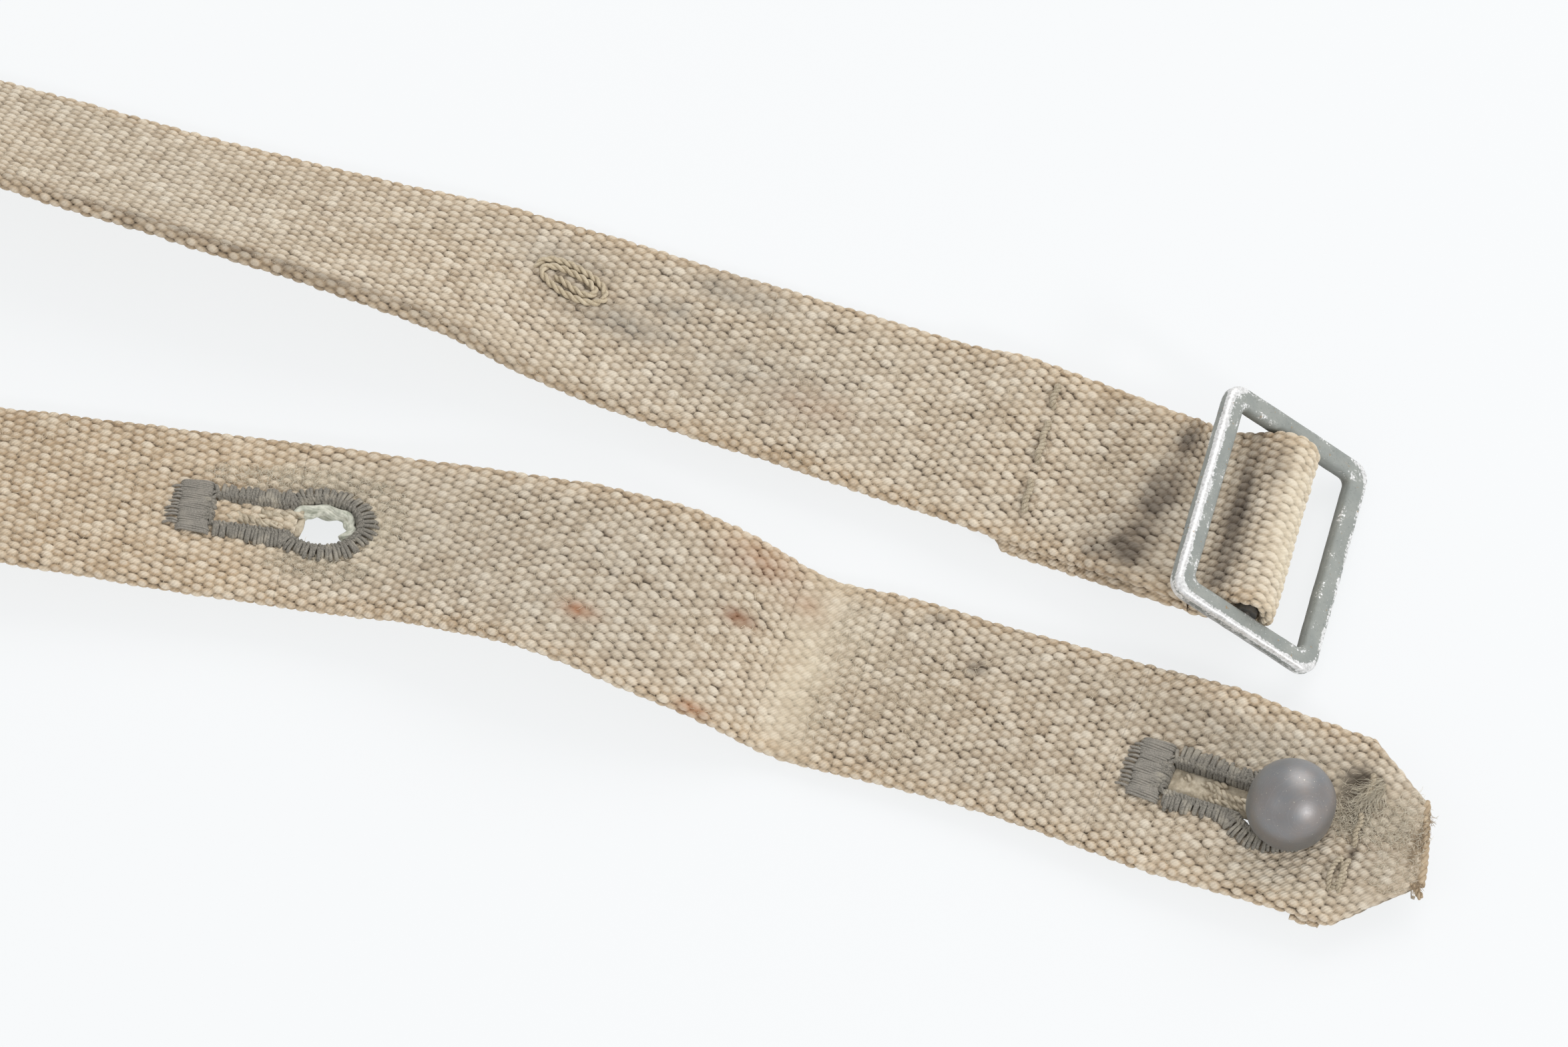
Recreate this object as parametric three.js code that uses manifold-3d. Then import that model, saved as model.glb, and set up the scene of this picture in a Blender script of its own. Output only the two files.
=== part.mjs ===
// A cotton webbing equipment strap: one end is sewn round the middle bar of a slide buckle, the other end is
// pointed, has two keyhole buttonholes and holds a ball stud. It lies on a table in a long U: a strand that
// leads to the buckle, a bend that stands on edge, and a strand that leads to the pointed end.
// Millimetres, +Z up. The table is z = 0, and the origin is the middle of the strap's box on the table.
import * as THREE from "three";
import { mergeVertices } from "three/addons/utils/BufferGeometryUtils.js";
import Module from "manifold-3d";

const wasm = await Module();
wasm.setup();

// ---------------------------------------------------------------- driving dimensions
const GAP = 0.3; // clearance kept between neighbouring pieces
const WEBBING = { width: 28.8, thickness: 2.2, edgeChamfer: 0.6 };
const HALF_WIDTH = WEBBING.width / 2;
const HALF_THICKNESS = WEBBING.thickness / 2;
const WEBBING_STEP = 5; // spacing of the sections along a webbing piece
const THREAD_RADIUS = 0.4;
const THREAD_STEP = 1.1;
const THREAD_SIDES = 8;
const THREAD_TENSION = 0.25; // how roundly a thread turns at its needle holes
const NEEDLE_MARGIN = 0.5; // room round a thread in its needle hole

// The slide buckle: a rectangular frame with a round middle bar, tilted on its middle bar.
const BUCKLE = {
  length: 35.6, // along the bars, across the webbing
  span: 26.2,
  barWidth: 3.1,
  thickness: 2.4,
  bevel: 0.7,
  outerCorner: 2.6,
  innerCorner: 1.1,
  middleBarRadius: 1.6,
  tenonRadius: 0.7,
  tenonLength: 1.8,
  centre: new THREE.Vector3(68.5, -6.1, 9.5),
  yaw: -14.7,
  roll: 3.5,
  tilt: 36.8,
};

// The fold of the webbing round the middle bar, in the plane across that bar.
const FOLD = {
  radius: BUCKLE.middleBarRadius + GAP + HALF_THICKNESS,
  start: new THREE.Vector2(-9, -0.3), // middle of the upper layer, where the fold begins
  slope: 16, // how steeply the strap rises there
};
const TAIL = { length: 28.5, drift: 0.015 }; // folded back underneath: its near edge, and its sideways drift

// Both keyholes: a slot that opens into an oval eye. Lengths are measured from the eye's centre.
const KEYHOLE = { slotStart: -15.3, slotHalf: 1.9, eyeLong: 5.0, eyeWide: 3.6 };
const EDGING = { band: 2.8, wall: 0.6, bandThickness: 0.7 };
const BAR_TACK = { from: -20.4, to: -16.2, halfWidth: 4.3, thickness: 0.8, legRadius: 0.6, legOffset: 3.2 };

// Places along the strap, measured back from the tip.
const CREASE_FROM_TIP = 92.5;
const STUD_FROM_TIP = 22.1;
const KEYHOLE_2_FROM_TIP = 24.1;
const KEYHOLE_2_ACROSS = 1.0;
const KEYHOLE_1_FROM_TIP = CREASE_FROM_TIP + 75.5;

// The pointed end, as [distance from the tip, place across], from the far edge to the near edge.
const TIP_CORNERS = [
  [14.5, -HALF_WIDTH],
  [3.6, -7.3],
  [0.8, 4.3],
  [11.4, HALF_WIDTH],
];
const TURN_UNDER = { length: 16, thickness: 1.6, fold: 1.3, inset: 1.2 };
const TIP_SEAM = { fromTip: 12, stitches: [[-8.6, -5.2], [-2.4, 2.2], [4.8, 9.4]] };

// The seam behind the buckle, its three stitches on the top face, from the far edge to the near edge.
const SEAM = { from: 28.4, slant: -0.148, stitches: [[-11, -7.7], [-5, 1.2], [4.6, 9.3]] };

// The oval thread tack: its place, its turn against the strap, and the thread's route over the top face.
const TACK = { along: 99.5, across: -3.6, turn: 11 };
const TACK_ROUTE = [
  [-4.8, -0.2],
  [-4.2, -1.2],
  [-2.4, -1.9],
  [0, -2.1],
  [2.4, -1.9],
  [4.2, -1.2],
  [4.8, 0],
  [4.2, 1.2],
  [2.4, 1.9],
  [0, 2.1],
  [-2.0, 1.9],
  [-3.3, 1.2],
  [-3.4, 0.3],
  [-2.4, -0.1],
  [0, 0],
  [3.0, 0.1],
];

// The ball stud, along its own axis from the middle of the webbing.
const STUD = {
  axis: new THREE.Vector3(0.07, -0.16, 0.985).normalize(),
  headRadius: 6.2,
  headFrom: 3.6,
  skirt: 3.4,
  domeHeight: 6.0,
  rimRound: 0.8,
  neckRadius: 1.4,
  socketDepth: 3,
  baseRadius: 4.2,
  baseThickness: 0.8,
  baseTop: -3.4,
  rivetRadius: 0.9,
};

// The strap's route, from the buckle round the bend to the tip: [x, y, roll, lift]. Roll turns the webbing
// about its length: 0 lies flat, 90 stands on its far edge, 180 lies flat on its other face. Lift is how far
// it stands off the table.
const ROUTE = [
  [59.8, -3.8, 3.5, 7.2],
  [50.3, 1.5, 2, 4.8],
  [41, 5.8, 0, 4.2],
  [31, 10, 0, 4.1],
  [22, 13.8, 3, 1.6],
  [10, 18.6, 6, 0.2],
  [-16.5, 28, 7, 0.1],
  [-31, 33, 11, 0.1],
  [-45, 38, 20, 0.1],
  [-64, 43.4, 27, 0.1],
  [-83, 49.2, 31, 0.1],
  [-106.6, 56.8, 33, 0.1],
  [-150, 70.5, 43, 0.1],
  [-205, 84.5, 62, 0.1],
  [-270, 94, 80, 0.1],
  [-330, 97, 89, 0.1],
  [-372, 96, 90, 0.1],
  [-401.7, 83.7, 90, 0.1],
  [-414, 54, 90, 0.1],
  [-401.7, 24.3, 90, 0.1],
  [-372, 12, 90, 0.1],
  [-330, 13, 92, 0.1],
  [-270, 16, 103, 0.1],
  [-205, 14.5, 124, 0.1],
  [-150, 9.4, 150, 0.1],
  [-106.6, 3.1, 166, 0.1],
  [-70, -2.1, 171, 0.2],
  [-57, -4.6, 171, 1.2],
  [-45, -7.7, 171, 3.5],
  [-35.5, -10.9, 173, 6.3],
  [-26, -14.6, 177, 8.4],
  [-16.5, -18.1, 183.5, 7.5],
  [-7, -21.2, 183, 4.7],
  [-0.5, -23.2, 181, 1.65],
  [3.8, -24.6, 180.5, 0.4],
  [12, -27.1, 180.5, 0.6],
  [31, -33, 182, 1.1],
  [50, -40.1, 183.5, 1.8],
  [69.7, -47.9, 184, 3.0],
  [91.4, -55.9, 184, 2.85],
];
const SQUARE_TO_BAR = 14; // over this length the webbing turns from square to the bar to its own direction
const BEND_FROM_POINT = 15; // the bend is the route between these two points
const BEND_TO_POINT = 21;

// ---------------------------------------------------------------- materials
const cotton = new THREE.MeshStandardMaterial({ color: 0xa8977b, roughness: 0.95 });
const thread = new THREE.MeshStandardMaterial({ color: 0x9c8d74, roughness: 0.95 });
const greyThread = new THREE.MeshStandardMaterial({ color: 0x6f6f66, roughness: 0.95 });
const paintedSteel = new THREE.MeshStandardMaterial({ color: 0x8d948d, roughness: 0.5, metalness: 0.4 });
const gunmetal = new THREE.MeshStandardMaterial({ color: 0x5c5b5b, roughness: 0.4, metalness: 0.8 });

// ---------------------------------------------------------------- the strap's own coordinates
// A strap geometry is made flat, as (across, off the face, along), and then bent along the route.
const radians = THREE.MathUtils.degToRad;

function restingHeight(roll) {
  return HALF_WIDTH * Math.abs(Math.sin(roll)) + HALF_THICKNESS * Math.abs(Math.cos(roll));
}

const routeCurve = new THREE.CatmullRomCurve3(
  ROUTE.map(([x, y, roll, lift]) => new THREE.Vector3(x, y, restingHeight(radians(roll)) + lift)),
);
routeCurve.arcLengthDivisions = 4000;
const rollCurve = new THREE.SplineCurve(ROUTE.map(([, , roll], i) => new THREE.Vector2(i, roll)));
const STRAP_LENGTH = routeCurve.getLength();
const UP = new THREE.Vector3(0, 0, 1);

// The buckle's own frame at rest: x from the bar over the webbing to the free bar, y along the bars.
const buckleYaw = new THREE.Quaternion().setFromAxisAngle(UP, radians(BUCKLE.yaw));
const buckleRoll = new THREE.Quaternion().setFromAxisAngle(new THREE.Vector3(1, 0, 0), radians(-BUCKLE.roll));
const foldTurn = buckleYaw.clone().multiply(buckleRoll);
const buckleTilt = new THREE.Quaternion().setFromAxisAngle(new THREE.Vector3(0, 1, 0), radians(BUCKLE.tilt));
const acrossAtBar = new THREE.Vector3(0, -1, 0).applyQuaternion(foldTurn);

function strapFrame(along) {
  const share = THREE.MathUtils.clamp(along / STRAP_LENGTH, 0, 1);
  const t = routeCurve.getUtoTmapping(share);
  const origin = routeCurve.getPoint(t);
  const forward = routeCurve.getTangent(t);
  const roll = radians(rollCurve.getPoint(t).y);
  const left = UP.clone().cross(forward).normalize();
  const lifted = forward.clone().cross(left);
  const across = left.multiplyScalar(Math.cos(roll)).addScaledVector(lifted, Math.sin(roll)).normalize();
  across.lerp(acrossAtBar, 1 - THREE.MathUtils.smoothstep(along, 0, SQUARE_TO_BAR)).normalize();
  const normal = forward.clone().cross(across).normalize();
  return { origin, forward, across, normal };
}

function bend(geometry) {
  const position = geometry.getAttribute("position");
  for (let i = 0; i < position.count; i++) {
    const along = position.getZ(i);
    const { origin, forward, across, normal } = strapFrame(along);
    const beyond = along - THREE.MathUtils.clamp(along, 0, STRAP_LENGTH);
    origin.addScaledVector(across, position.getX(i));
    origin.addScaledVector(normal, position.getY(i));
    origin.addScaledVector(forward, beyond);
    position.setXYZ(i, origin.x, origin.y, origin.z);
  }
  geometry.computeVertexNormals();
  return geometry;
}

// ---------------------------------------------------------------- joining and cutting
function toSolid(geometry) {
  const bare = geometry.clone();
  for (const name of Object.keys(bare.attributes)) {
    if (name !== "position") bare.deleteAttribute(name);
  }
  const merged = mergeVertices(bare, 1e-4);
  return new wasm.Manifold(
    new wasm.Mesh({
      numProp: 3,
      vertProperties: new Float32Array(merged.attributes.position.array),
      triVerts: new Uint32Array(merged.index.array),
    }),
  );
}

function toGeometry(solid) {
  const { vertProperties, triVerts } = solid.getMesh();
  const geometry = new THREE.BufferGeometry();
  geometry.setAttribute("position", new THREE.BufferAttribute(new Float32Array(vertProperties), 3));
  geometry.setIndex(new THREE.BufferAttribute(new Uint32Array(triVerts), 1));
  geometry.computeVertexNormals();
  return geometry;
}

function join(first, ...others) {
  const solid = others.reduce((whole, next) => whole.add(toSolid(next)), toSolid(first));
  return toGeometry(solid);
}

function cut(body, ...tools) {
  const solid = tools.reduce((rest, tool) => rest.subtract(toSolid(tool)), toSolid(body));
  return toGeometry(solid);
}

// ---------------------------------------------------------------- shapes
function fromPoints(points) {
  return new THREE.Shape(points.map(([x, y]) => new THREE.Vector2(x, y)));
}

// A plate in strap coordinates: the outline is (along, across), and it spans the two heights off the face.
function plate(shape, low, high, curveSegments = 10) {
  const depth = high - low;
  const geometry = new THREE.ExtrudeGeometry(shape, { depth, bevelEnabled: false, curveSegments });
  const toStrap = new THREE.Matrix4().set(0, 1, 0, 0, 0, 0, 1, low, 1, 0, 0, 0, 0, 0, 0, 1);
  return geometry.applyMatrix4(toStrap);
}

// A length of webbing in strap coordinates, with bevelled selvedges.
function webbing(from, to, height = 0) {
  const { edgeChamfer } = WEBBING;
  const w = HALF_WIDTH;
  const t = HALF_THICKNESS;
  const section = fromPoints([
    [-w, -t + edgeChamfer],
    [-w + edgeChamfer, -t],
    [w - edgeChamfer, -t],
    [w, -t + edgeChamfer],
    [w, t - edgeChamfer],
    [w - edgeChamfer, t],
    [-w + edgeChamfer, t],
    [-w, t - edgeChamfer],
  ]);
  const steps = Math.max(2, Math.round((to - from) / WEBBING_STEP));
  const geometry = new THREE.ExtrudeGeometry(section, { depth: to - from, steps, bevelEnabled: false });
  return geometry.translate(0, height, from);
}

// The keyhole's outline, grown by a margin at its sides and by another at the slot's closed end.
function keyholeShape({ along, across }, sideMargin, endMargin) {
  const half = KEYHOLE.slotHalf + sideMargin;
  const long = KEYHOLE.eyeLong + sideMargin;
  const wide = KEYHOLE.eyeWide + sideMargin;
  const mouth = Math.PI - Math.asin(half / wide);
  const start = along + KEYHOLE.slotStart - endMargin;
  const shape = new THREE.Shape();
  shape.moveTo(start, across - half);
  shape.lineTo(along + KEYHOLE.slotStart / 2, across - half);
  shape.absellipse(along, across, long, wide, -mouth, mouth, false, 0);
  shape.lineTo(along + KEYHOLE.slotStart / 2, across + half);
  shape.lineTo(start, across + half);
  return shape;
}

// A thread along a route of [across, off the face, along] points in strap coordinates.
function threadAlong(points) {
  const places = points.map(([x, y, z]) => new THREE.Vector3(x, y, z));
  const path = new THREE.CatmullRomCurve3(places, false, "catmullrom", THREAD_TENSION);
  const section = new THREE.Shape();
  section.absarc(0, 0, THREAD_RADIUS, 0, 2 * Math.PI);
  const steps = Math.ceil(path.getLength() / THREAD_STEP);
  return new THREE.ExtrudeGeometry(section, { extrudePath: path, steps, curveSegments: THREAD_SIDES / 2 });
}

function needleHole(along, across, low, high) {
  const hole = new THREE.Shape();
  hole.absarc(along, across, THREAD_RADIUS + NEEDLE_MARGIN, 0, 2 * Math.PI);
  return plate(hole, low, high, THREAD_SIDES / 2);
}

// A running stitch across the strap. Its stitches show on the face at `top`, and it runs on at `under`.
function runningStitch(stitches, alongAt, top, under) {
  const points = [];
  for (const [from, to] of stitches) {
    points.push([from, under, alongAt(from)], [from, top, alongAt(from)]);
    points.push([to, top, alongAt(to)], [to, under, alongAt(to)]);
  }
  return threadAlong(points);
}

function stitchHoles(stitches, alongAt, low, high) {
  return stitches.flat().map((across) => needleHole(alongAt(across), across, low, high));
}

// ---------------------------------------------------------------- the strap's places
const CREASE = STRAP_LENGTH - CREASE_FROM_TIP;
const KEYHOLE_1 = { along: STRAP_LENGTH - KEYHOLE_1_FROM_TIP, across: 0 };
const KEYHOLE_2 = { along: STRAP_LENGTH - KEYHOLE_2_FROM_TIP, across: KEYHOLE_2_ACROSS };
const THROUGH = HALF_THICKNESS + 2; // a cutter that passes through one layer
const TAIL_HEIGHT = -(WEBBING.thickness + GAP);
const THREAD_OFF_FACE = HALF_THICKNESS + GAP + THREAD_RADIUS;
const DOUBLE_UNDER = TAIL_HEIGHT - THREAD_OFF_FACE;
const seamAt = (across) => SEAM.from + SEAM.slant * (across - SEAM.stitches[0][0]);
const tipSeamAt = () => STRAP_LENGTH - TIP_SEAM.fromTip;

function routePointAt(index) {
  const wanted = index / (ROUTE.length - 1);
  let low = 0;
  let high = 1;
  while (high - low > 1e-6) {
    const middle = (low + high) / 2;
    if (routeCurve.getUtoTmapping(middle) < wanted) low = middle;
    else high = middle;
  }
  return low * STRAP_LENGTH;
}

const BEND_FROM = routePointAt(BEND_FROM_POINT);
const BEND_TO = routePointAt(BEND_TO_POINT);

// ---------------------------------------------------------------- webbing pieces
function tackPlace([a, b]) {
  const turn = radians(TACK.turn);
  const across = TACK.across + a * Math.sin(turn) + b * Math.cos(turn);
  const along = TACK.along - a * Math.cos(turn) + b * Math.sin(turn);
  return [across, along];
}

function upperRun() {
  const holes = stitchHoles(SEAM.stitches, seamAt, -THROUGH, THROUGH);
  for (const end of [TACK_ROUTE[0], TACK_ROUTE.at(-1)]) {
    const [across, along] = tackPlace(end);
    holes.push(needleHole(along, across, -THROUGH, THROUGH));
  }
  return bend(cut(webbing(GAP / 2, BEND_FROM - GAP / 2), ...holes));
}

// The tail follows the strap underneath. It drifts towards the near edge, and its end is cut along the seam.
function shearTail(geometry) {
  const position = geometry.getAttribute("position");
  for (let i = 0; i < position.count; i++) {
    const across = position.getX(i);
    const along = position.getZ(i);
    const share = along / TAIL.length;
    position.setX(i, across + TAIL.drift * along);
    position.setZ(i, along + share * SEAM.slant * (across - HALF_WIDTH));
  }
  return geometry;
}

function tail() {
  const layer = shearTail(webbing(GAP / 2, TAIL.length, TAIL_HEIGHT));
  const holes = stitchHoles(SEAM.stitches, seamAt, TAIL_HEIGHT - THROUGH, TAIL_HEIGHT + THROUGH);
  return bend(cut(layer, ...holes));
}

function webbingBend() {
  return bend(webbing(BEND_FROM + GAP / 2, BEND_TO - GAP / 2));
}

function barTackLegs(eye, radius, low, high) {
  const middle = eye.along + (BAR_TACK.from + BAR_TACK.to) / 2;
  return [-BAR_TACK.legOffset, BAR_TACK.legOffset].map((offset) => {
    const leg = new THREE.Shape();
    leg.absarc(middle, eye.across + offset, radius, 0, 2 * Math.PI);
    return plate(leg, low, high, THREAD_SIDES / 2);
  });
}

// Everything that a keyhole takes out of the webbing: its opening, and the holes for its bar tack.
function keyholeCutters(eye) {
  const margin = EDGING.wall + GAP;
  const opening = plate(keyholeShape(eye, margin, margin), -THROUGH, THROUGH);
  return [opening, ...barTackLegs(eye, BAR_TACK.legRadius + GAP, -THROUGH, THROUGH)];
}

function lowerRun() {
  const run = webbing(BEND_TO + GAP / 2, CREASE - GAP / 2);
  return bend(cut(run, ...keyholeCutters(KEYHOLE_1)));
}

// What is cut off the square end to leave the point, grown inwards by an inset.
function tipOffcut(inset, low, high) {
  const beyond = 20;
  const corners = TIP_CORNERS.map(([back, across]) => [STRAP_LENGTH - back - inset, across]);
  const outline = [
    [corners[0][0], -beyond],
    ...corners,
    [corners[3][0], beyond],
    [STRAP_LENGTH + beyond, beyond],
    [STRAP_LENGTH + beyond, -beyond],
  ];
  return plate(fromPoints(outline), low, high);
}

function endFlap() {
  const run = webbing(CREASE + GAP / 2, STRAP_LENGTH);
  const holes = stitchHoles(TIP_SEAM.stitches, tipSeamAt, -THROUGH, THROUGH);
  const offcut = tipOffcut(TURN_UNDER.fold + GAP, -THROUGH, THROUGH);
  return bend(cut(run, offcut, ...keyholeCutters(KEYHOLE_2), ...holes));
}

// The turned-under layer below the point, with the fold that stands up at the very end.
function turnUnder() {
  const low = HALF_THICKNESS + GAP;
  const high = low + TURN_UNDER.thickness;
  const [, farEnd, nearEnd] = TIP_CORNERS;
  const from = STRAP_LENGTH - TURN_UNDER.length;
  const layerShape = fromPoints([
    [from, -HALF_WIDTH + TURN_UNDER.inset],
    [STRAP_LENGTH - TIP_CORNERS[0][0], -HALF_WIDTH + TURN_UNDER.inset],
    [STRAP_LENGTH - farEnd[0], farEnd[1]],
    [STRAP_LENGTH - nearEnd[0], nearEnd[1]],
    [STRAP_LENGTH - TIP_CORNERS[3][0] - TURN_UNDER.inset, HALF_WIDTH - TURN_UNDER.inset],
    [from, HALF_WIDTH - TURN_UNDER.inset],
  ]);
  const foldShape = fromPoints([
    [STRAP_LENGTH - farEnd[0] - TURN_UNDER.fold, farEnd[1]],
    [STRAP_LENGTH - farEnd[0], farEnd[1]],
    [STRAP_LENGTH - nearEnd[0], nearEnd[1]],
    [STRAP_LENGTH - nearEnd[0] - TURN_UNDER.fold, nearEnd[1]],
  ]);
  const layer = plate(layerShape, low, high);
  const fold = plate(foldShape, -HALF_THICKNESS, high);
  const holes = stitchHoles(TIP_SEAM.stitches, tipSeamAt, 0, high + 1);
  return bend(cut(join(layer, fold), ...holes));
}

// The webbing's turn round the middle bar: its outline across the bar, extruded along the bar.
function buckleFold() {
  const { radius, start, slope } = FOLD;
  const rise = Math.atan2(radius - start.y, -start.x);
  const outer = radius + HALF_THICKNESS;
  const inner = radius - HALF_THICKNESS;
  const topAngle = Math.PI / 2 + rise;
  const back = WEBBING.thickness + GAP;
  const lower = new THREE.Vector2(
    start.x + back * Math.sin(radians(slope)),
    start.y - back * Math.cos(radians(slope)),
  );
  const startCut = new THREE.Vector2(GAP / 2, 0);
  const topNormal = new THREE.Vector2(-Math.sin(rise), Math.cos(rise)).multiplyScalar(HALF_THICKNESS);
  const under = new THREE.Vector2(0, HALF_THICKNESS);
  const outline = new THREE.Shape();
  const begin = start.clone().add(startCut);
  const end = lower.clone().add(startCut);
  outline.moveTo(begin.x + topNormal.x, begin.y + topNormal.y);
  outline.lineTo(outer * Math.cos(topAngle), outer * Math.sin(topAngle));
  outline.absarc(0, 0, outer, topAngle, -Math.PI / 2, true);
  outline.lineTo(end.x, end.y - under.y);
  outline.lineTo(end.x, end.y + under.y);
  outline.lineTo(inner * Math.cos(-Math.PI / 2), inner * Math.sin(-Math.PI / 2));
  outline.absarc(0, 0, inner, -Math.PI / 2, topAngle, false);
  outline.lineTo(begin.x - topNormal.x, begin.y - topNormal.y);
  const geometry = new THREE.ExtrudeGeometry(outline, {
    depth: WEBBING.width,
    steps: 1,
    bevelEnabled: false,
    curveSegments: 12,
  });
  return geometry.translate(0, 0, -HALF_WIDTH).rotateX(Math.PI / 2);
}

// ---------------------------------------------------------------- sewn pieces
function seamThread() {
  return bend(runningStitch(SEAM.stitches, seamAt, THREAD_OFF_FACE, DOUBLE_UNDER));
}

function threadTack() {
  const points = TACK_ROUTE.map((place) => {
    const [across, along] = tackPlace(place);
    return [across, THREAD_OFF_FACE, along];
  });
  const [first, last] = [points[0], points.at(-1)];
  points.unshift([first[0], -THREAD_OFF_FACE, first[2]]);
  points.push([last[0], -THREAD_OFF_FACE, last[2]]);
  return bend(threadAlong(points));
}

function tipStitching() {
  const under = HALF_THICKNESS + GAP + TURN_UNDER.thickness + GAP + THREAD_RADIUS;
  return bend(runningStitch(TIP_SEAM.stitches, tipSeamAt, -THREAD_OFF_FACE, under));
}

// Buttonhole stitching: a band on each face, joined by a wall through the hole.
function keyholeEdging(eye) {
  const { band, wall, bandThickness } = EDGING;
  const inner = HALF_THICKNESS + GAP;
  const outer = inner + bandThickness;
  const hole = keyholeShape(eye, 0, 0);
  const bandShape = keyholeShape(eye, band, wall);
  const wallShape = keyholeShape(eye, wall, wall);
  for (const shape of [bandShape, wallShape]) shape.holes.push(hole);
  const top = plate(bandShape, inner, outer);
  const bottom = plate(bandShape, -outer, -inner);
  const lining = plate(wallShape, -outer, outer);
  return bend(join(top, bottom, lining));
}

function barTack(eye) {
  const { from, to, halfWidth, thickness, legRadius } = BAR_TACK;
  const inner = HALF_THICKNESS + GAP;
  const outer = inner + thickness;
  const pad = fromPoints([
    [eye.along + from, eye.across - halfWidth],
    [eye.along + to, eye.across - halfWidth],
    [eye.along + to, eye.across + halfWidth],
    [eye.along + from, eye.across + halfWidth],
  ]);
  const legEnd = outer - thickness / 2;
  const legs = barTackLegs(eye, legRadius, -legEnd, legEnd);
  return bend(join(plate(pad, inner, outer), plate(pad, -outer, -inner), ...legs));
}

// ---------------------------------------------------------------- the buckle
function roundedRectangle(width, height, radius) {
  const x = width / 2;
  const y = height / 2;
  const shape = new THREE.Shape();
  shape.moveTo(-x + radius, -y);
  shape.absarc(x - radius, -y + radius, radius, -Math.PI / 2, 0);
  shape.absarc(x - radius, y - radius, radius, 0, Math.PI / 2);
  shape.absarc(-x + radius, y - radius, radius, Math.PI / 2, Math.PI);
  shape.absarc(-x + radius, -y + radius, radius, Math.PI, 1.5 * Math.PI);
  return shape;
}

function alongBars(radius, length) {
  return new THREE.CylinderGeometry(radius, radius, length, 20);
}

function buckleFrame() {
  const { length, span, barWidth, thickness, bevel } = BUCKLE;
  const { outerCorner, innerCorner, tenonRadius, tenonLength } = BUCKLE;
  const outline = roundedRectangle(span - 2 * bevel, length - 2 * bevel, outerCorner - bevel);
  const window = roundedRectangle(
    span - 2 * barWidth + 2 * bevel,
    length - 2 * barWidth + 2 * bevel,
    innerCorner + bevel,
  );
  outline.holes.push(window);
  const ring = new THREE.ExtrudeGeometry(outline, {
    depth: thickness - 2 * bevel,
    bevelThickness: bevel,
    bevelSize: bevel,
    bevelSegments: 2,
    curveSegments: 5,
  });
  ring.translate(0, 0, -thickness / 2 + bevel);
  const sockets = alongBars(tenonRadius + GAP, length - 2 * (barWidth - tenonLength));
  return cut(ring, sockets);
}

function middleBar() {
  const { length, barWidth, middleBarRadius, tenonRadius, tenonLength } = BUCKLE;
  const inside = length - 2 * barWidth - 2 * GAP;
  const reach = length - 2 * (barWidth - tenonLength) - 2 * GAP;
  return join(alongBars(middleBarRadius, inside), alongBars(tenonRadius, reach));
}

// ---------------------------------------------------------------- the ball stud
function lathe(profile) {
  const points = profile.map(([r, z]) => new THREE.Vector2(r, z));
  return new THREE.LatheGeometry(points, 32).rotateX(Math.PI / 2);
}

function studHead() {
  const { headRadius, headFrom, skirt, domeHeight, rimRound, neckRadius, socketDepth } = STUD;
  const socket = neckRadius + GAP;
  const profile = [
    [0, headFrom + socketDepth],
    [socket, headFrom + socketDepth],
    [socket, headFrom],
    [headRadius - rimRound, headFrom],
    [headRadius, headFrom + rimRound],
  ];
  const domeSteps = 9;
  for (let i = 0; i <= domeSteps; i++) {
    const angle = (i / domeSteps) * (Math.PI / 2);
    const radius = i === domeSteps ? 0 : headRadius * Math.cos(angle);
    profile.push([radius, headFrom + skirt + domeHeight * Math.sin(angle)]);
  }
  return lathe(profile);
}

function studNeck() {
  const { headFrom, neckRadius, socketDepth, baseTop, baseThickness, rivetRadius } = STUD;
  return lathe([
    [0, baseTop - baseThickness],
    [rivetRadius, baseTop - baseThickness],
    [rivetRadius, baseTop + GAP],
    [neckRadius, baseTop + GAP],
    [neckRadius, headFrom + socketDepth - GAP],
    [0, headFrom + socketDepth - GAP],
  ]);
}

function studBase() {
  const { baseRadius, baseThickness, baseTop, rivetRadius } = STUD;
  const bore = rivetRadius + GAP;
  return lathe([
    [bore, baseTop - baseThickness],
    [baseRadius, baseTop - baseThickness],
    [baseRadius, baseTop],
    [bore, baseTop],
    [bore, baseTop - baseThickness],
  ]);
}

// ---------------------------------------------------------------- assembly
const strap = new THREE.Group();

function add(group, name, geometry, material) {
  const mesh = new THREE.Mesh(geometry, material);
  mesh.name = name;
  group.add(mesh);
}

add(strap, "webbing_upper_run", upperRun(), cotton);
add(strap, "webbing_tail", tail(), cotton);
add(strap, "webbing_bend", webbingBend(), cotton);
add(strap, "webbing_lower_run", lowerRun(), cotton);
add(strap, "webbing_end_flap", endFlap(), cotton);
add(strap, "webbing_tip_turnunder", turnUnder(), cotton);
add(strap, "seam_thread", seamThread(), thread);
add(strap, "thread_tack", threadTack(), thread);
add(strap, "tip_stitching", tipStitching(), thread);
add(strap, "keyhole_1_edging", keyholeEdging(KEYHOLE_1), greyThread);
add(strap, "keyhole_2_edging", keyholeEdging(KEYHOLE_2), greyThread);
add(strap, "keyhole_1_bar_tack", barTack(KEYHOLE_1), greyThread);
add(strap, "keyhole_2_bar_tack", barTack(KEYHOLE_2), greyThread);

const fold = new THREE.Group();
fold.position.copy(BUCKLE.centre);
fold.quaternion.copy(foldTurn);
add(fold, "webbing_buckle_fold", buckleFold(), cotton);
strap.add(fold);

const buckle = new THREE.Group();
buckle.position.copy(BUCKLE.centre);
buckle.quaternion.copy(foldTurn).multiply(buckleTilt);
add(buckle, "buckle_frame", buckleFrame(), paintedSteel);
add(buckle, "buckle_middle_bar", middleBar(), paintedSteel);
strap.add(buckle);

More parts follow.
